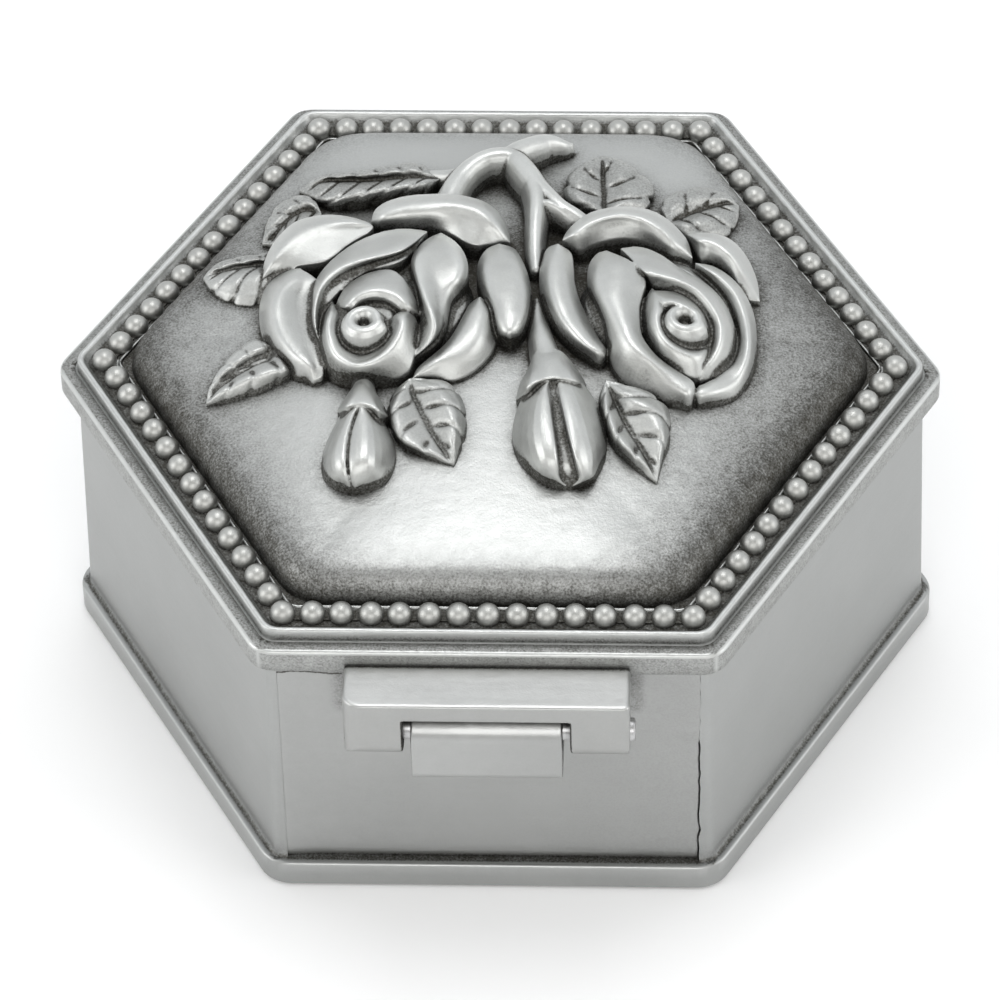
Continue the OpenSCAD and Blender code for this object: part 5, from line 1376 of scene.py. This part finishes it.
VELVET = fabric("velvet_blue", (0.004, 0.006, 0.016), (0.026, 0.034, 0.078), 5200, 0.10, 0.7)
FELT = fabric("felt_dark", (0.012, 0.012, 0.013), (0.040, 0.040, 0.042), 2600, 0.09, 0.3)
BOARD = card()
felt = slab("base_felt_sheet", 31.35, 1.5, 0.0, 0.72)
finish_piece(felt, "box", "felt", FELT, "base_felt")
for nm, body in (("floor_card", "box"), ("lid_card", "lid")):
    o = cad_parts[nm]
    o.data.materials.clear()
    o.data.materials.append(BOARD)
def floor_pad():
    """The floor's pad, blown up a little by a cloth simulation that runs at ten times the size."""
    big = 10.0
    pts = []
    for s, z in ((0.0, 3.32), (14, 3.32), (28.3, 3.34), (28.75, 3.5), (28.85, 3.75), (28.75, 4.0), (28.3, 4.14), (14, 4.16), (0.0, 4.16)):
        pts.append((s, 0.8, z))
    ob = lathe_hex("floor_velvet_pad", pts, arc=7, flat=24)
    fix_normals(ob)
    co = co_mm(ob)
    co[:, 2] -= 3.7
    ob.data.vertices.foreach_set("co", (co * MM * big).astype(np.float32).ravel())
    m = ob.modifiers.new("even", "REMESH")
    m.mode = "VOXEL"
    m.voxel_size = 0.0046
    apply_modifiers(ob)
    n = len(ob.data.vertices)
    start = np.empty(n * 3, np.float32)
    ob.data.vertices.foreach_get("co", start)
    start = start.reshape(-1, 3).copy()
    # held round the edge and underneath
    hold = ob.vertex_groups.new(name="hold")
    mm = start / (MM * big)
    ap = sides(mm[:, 0], mm[:, 1]).max(0)
    under = mm[:, 2] < -0.15
    for i in np.nonzero(under | (ap > 28.55))[0]:
        hold.add([int(i)], 1.0, "REPLACE")
    cl = ob.modifiers.new("Cloth", "CLOTH")
    st = cl.settings
    st.quality = 4
    st.mass = 0.3
    st.tension_stiffness = 12
    st.compression_stiffness = 12
    st.shear_stiffness = 6
    st.bending_stiffness = 0.4
    st.use_pressure = True
    st.uniform_pressure_force = 4.0
    st.vertex_group_mass = "hold"
    st.pin_stiffness = 1.0
    st.effector_weights.gravity = 0.0
    cl.collision_settings.use_collision = False
    cl.collision_settings.use_self_collision = False
    cl.point_cache.frame_start, cl.point_cache.frame_end = 1, 20
    for f in range(1, 21):
        SC.frame_set(f)
    dg = bpy.context.evaluated_depsgraph_get()
    ev = ob.evaluated_get(dg)
    end = np.empty(n * 3, np.float32)
    ev.data.vertices.foreach_get("co", end)
    end = end.reshape(-1, 3)
    ob.modifiers.clear()
    SC.frame_set(1)
    step = end - start
    far = np.linalg.norm(step, axis=1)
    cap = 0.0048
    step *= np.minimum(1.0, cap / np.maximum(far, 1e-9))[:, None]
    mm = (start + step) / (MM * big)
    print("pad sim", n, "moved mean/max mm", round(float(far.mean()) / big * 1000, 3), round(float(far.max()) / big * 1000, 3), flush=True)
    # soft unevenness of the filling
    k = np.clip(1 - np.abs(sides(mm[:, 0], mm[:, 1]).max(0)) / 28.5, 0, 1)
    soft = 0.035 * (np.sin(mm[:, 0] * 0.55 + 0.8) * np.cos(mm[:, 1] * 0.47 - 0.3) + 0.6 * np.sin(mm[:, 0] * 0.23 - mm[:, 1] * 0.31))
    mm[:, 2] += np.where(mm[:, 2] > 0.1, soft * np.minimum(1, k * 6), 0)
    mm[:, 2] = np.clip(mm[:, 2] + 3.7, 3.22, 4.62)
    ob.data.vertices.foreach_set("co", (mm * MM).astype(np.float32).ravel())
    ob.data.update()
    s = ob.modifiers.new("fine", "SUBSURF")
    s.levels = 1
    apply_modifiers(ob)
    ob.data.polygons.foreach_set("use_smooth", np.ones(len(ob.data.polygons), bool))
    return ob


floor_v = floor_pad()
finish_piece(floor_v, "box", "velvet", VELVET, "floor_velvet")
lid_v = slab("lid_velvet_sheet", 29.45, 1.0, 27.6, 28.3, 0.12)
finish_piece(lid_v, "lid", "velvet", VELVET, "lid_velvet")
wl = lathe_hex("wall_lining_strip", [(30.18, 0.88, 3.25), (30.18, 0.88, 15), (30.18, 0.88, 26.5), (30.05, 0.85, 26.63), (29.7, 0.75, 26.65),
                                     (29.54, 0.7, 26.5), (29.5, 0.7, 15), (29.5, 0.7, 3.25), (30.18, 0.88, 3.25)], arc=7, flat=8)
fix_normals(wl)
shade(wl, 40)
finish_piece(wl, "box", "velvet", VELVET, "wall_lining")


# ---------------------------------------------------------------- studio
def studio():
    me = bpy.data.meshes.new("floor")
    s = 3.0
    me.from_pydata([(-s, -s, 0), (s, -s, 0), (s, s, 0), (-s, s, 0)], [], [(0, 1, 2, 3)])
    fl = bpy.data.objects.new("floor", me)
    SC.collection.objects.link(fl)
    mat, nt, b = nodes_of("floor_paper")
    b.inputs["Base Color"].default_value = (0.93, 0.93, 0.93, 1)
    b.inputs["Roughness"].default_value = 0.95
    me.materials.append(mat)

    def area(name, loc, target, sx, sy, power, col=(1, 1, 1)):
        d = bpy.data.lights.new(name, "AREA")
        d.shape = "RECTANGLE"
        d.size, d.size_y = sx, sy
        d.energy = power
        d.color = col
        o = bpy.data.objects.new(name, d)
        o.location = loc
        o.rotation_euler = (Vector(target) - Vector(loc)).to_track_quat("-Z", "Y").to_euler()
        SC.collection.objects.link(o)
        return o
    # a broad box overhead, a little behind, and two weak side panels
    area("top_box", (0.0, 0.20, 1.0), (0, 0, 0.03), 0.32, 0.54, 2.3)
    area("left_panel", (-1.1, -0.35, 0.6), (0, 0, 0.02), 0.8, 0.9, 5.5)
    area("right_panel", (1.1, -0.25, 0.6), (0, 0, 0.02), 0.8, 0.9, 4.5)
    area("front_panel", (0.1, -1.25, 0.75), (0, -0.05, 0.0), 1.3, 0.7, 7.0)
    w = bpy.data.worlds.new("studio")
    SC.world = w
    w.use_nodes = True
    nt = w.node_tree
    nt.nodes.clear()
    out = nt.nodes.new("ShaderNodeOutputWorld")
    bg = nt.nodes.new("ShaderNodeBackground")
    tc = nt.nodes.new("ShaderNodeTexCoord")
    sep = nt.nodes.new("ShaderNodeSeparateXYZ")
    nt.links.new(tc.outputs["Generated"], sep.inputs[0])
    cr = nt.nodes.new("ShaderNodeValToRGB")
    f = nt.nodes.new("ShaderNodeMath")
    f.operation = "MULTIPLY_ADD"
    nt.links.new(sep.outputs["Y"], f.inputs[0])
    f.inputs[1].default_value = 0.5
    f.inputs[2].default_value = 0.5
    nt.links.new(f.outputs[0], cr.inputs[0])
    e = cr.color_ramp.elements
    e[0].position, e[0].color = 0.0, (0.34, 0.335, 0.32, 1)
    e[1].position, e[1].color = 0.66, (0.95, 0.97, 0.99, 1)
    m = cr.color_ramp.elements.new(0.22)
    m.color = (0.42, 0.415, 0.40, 1)
    nt.links.new(cr.outputs[0], bg.inputs[0])
    bg.inputs[1].default_value = 0.95
    nt.links.new(bg.outputs[0], out.inputs[0])
    SC.view_settings.view_transform = "Standard"
    SC.view_settings.look = "None"
    SC.view_settings.exposure = 0.0
    SC.view_settings.gamma = 1.0


studio()
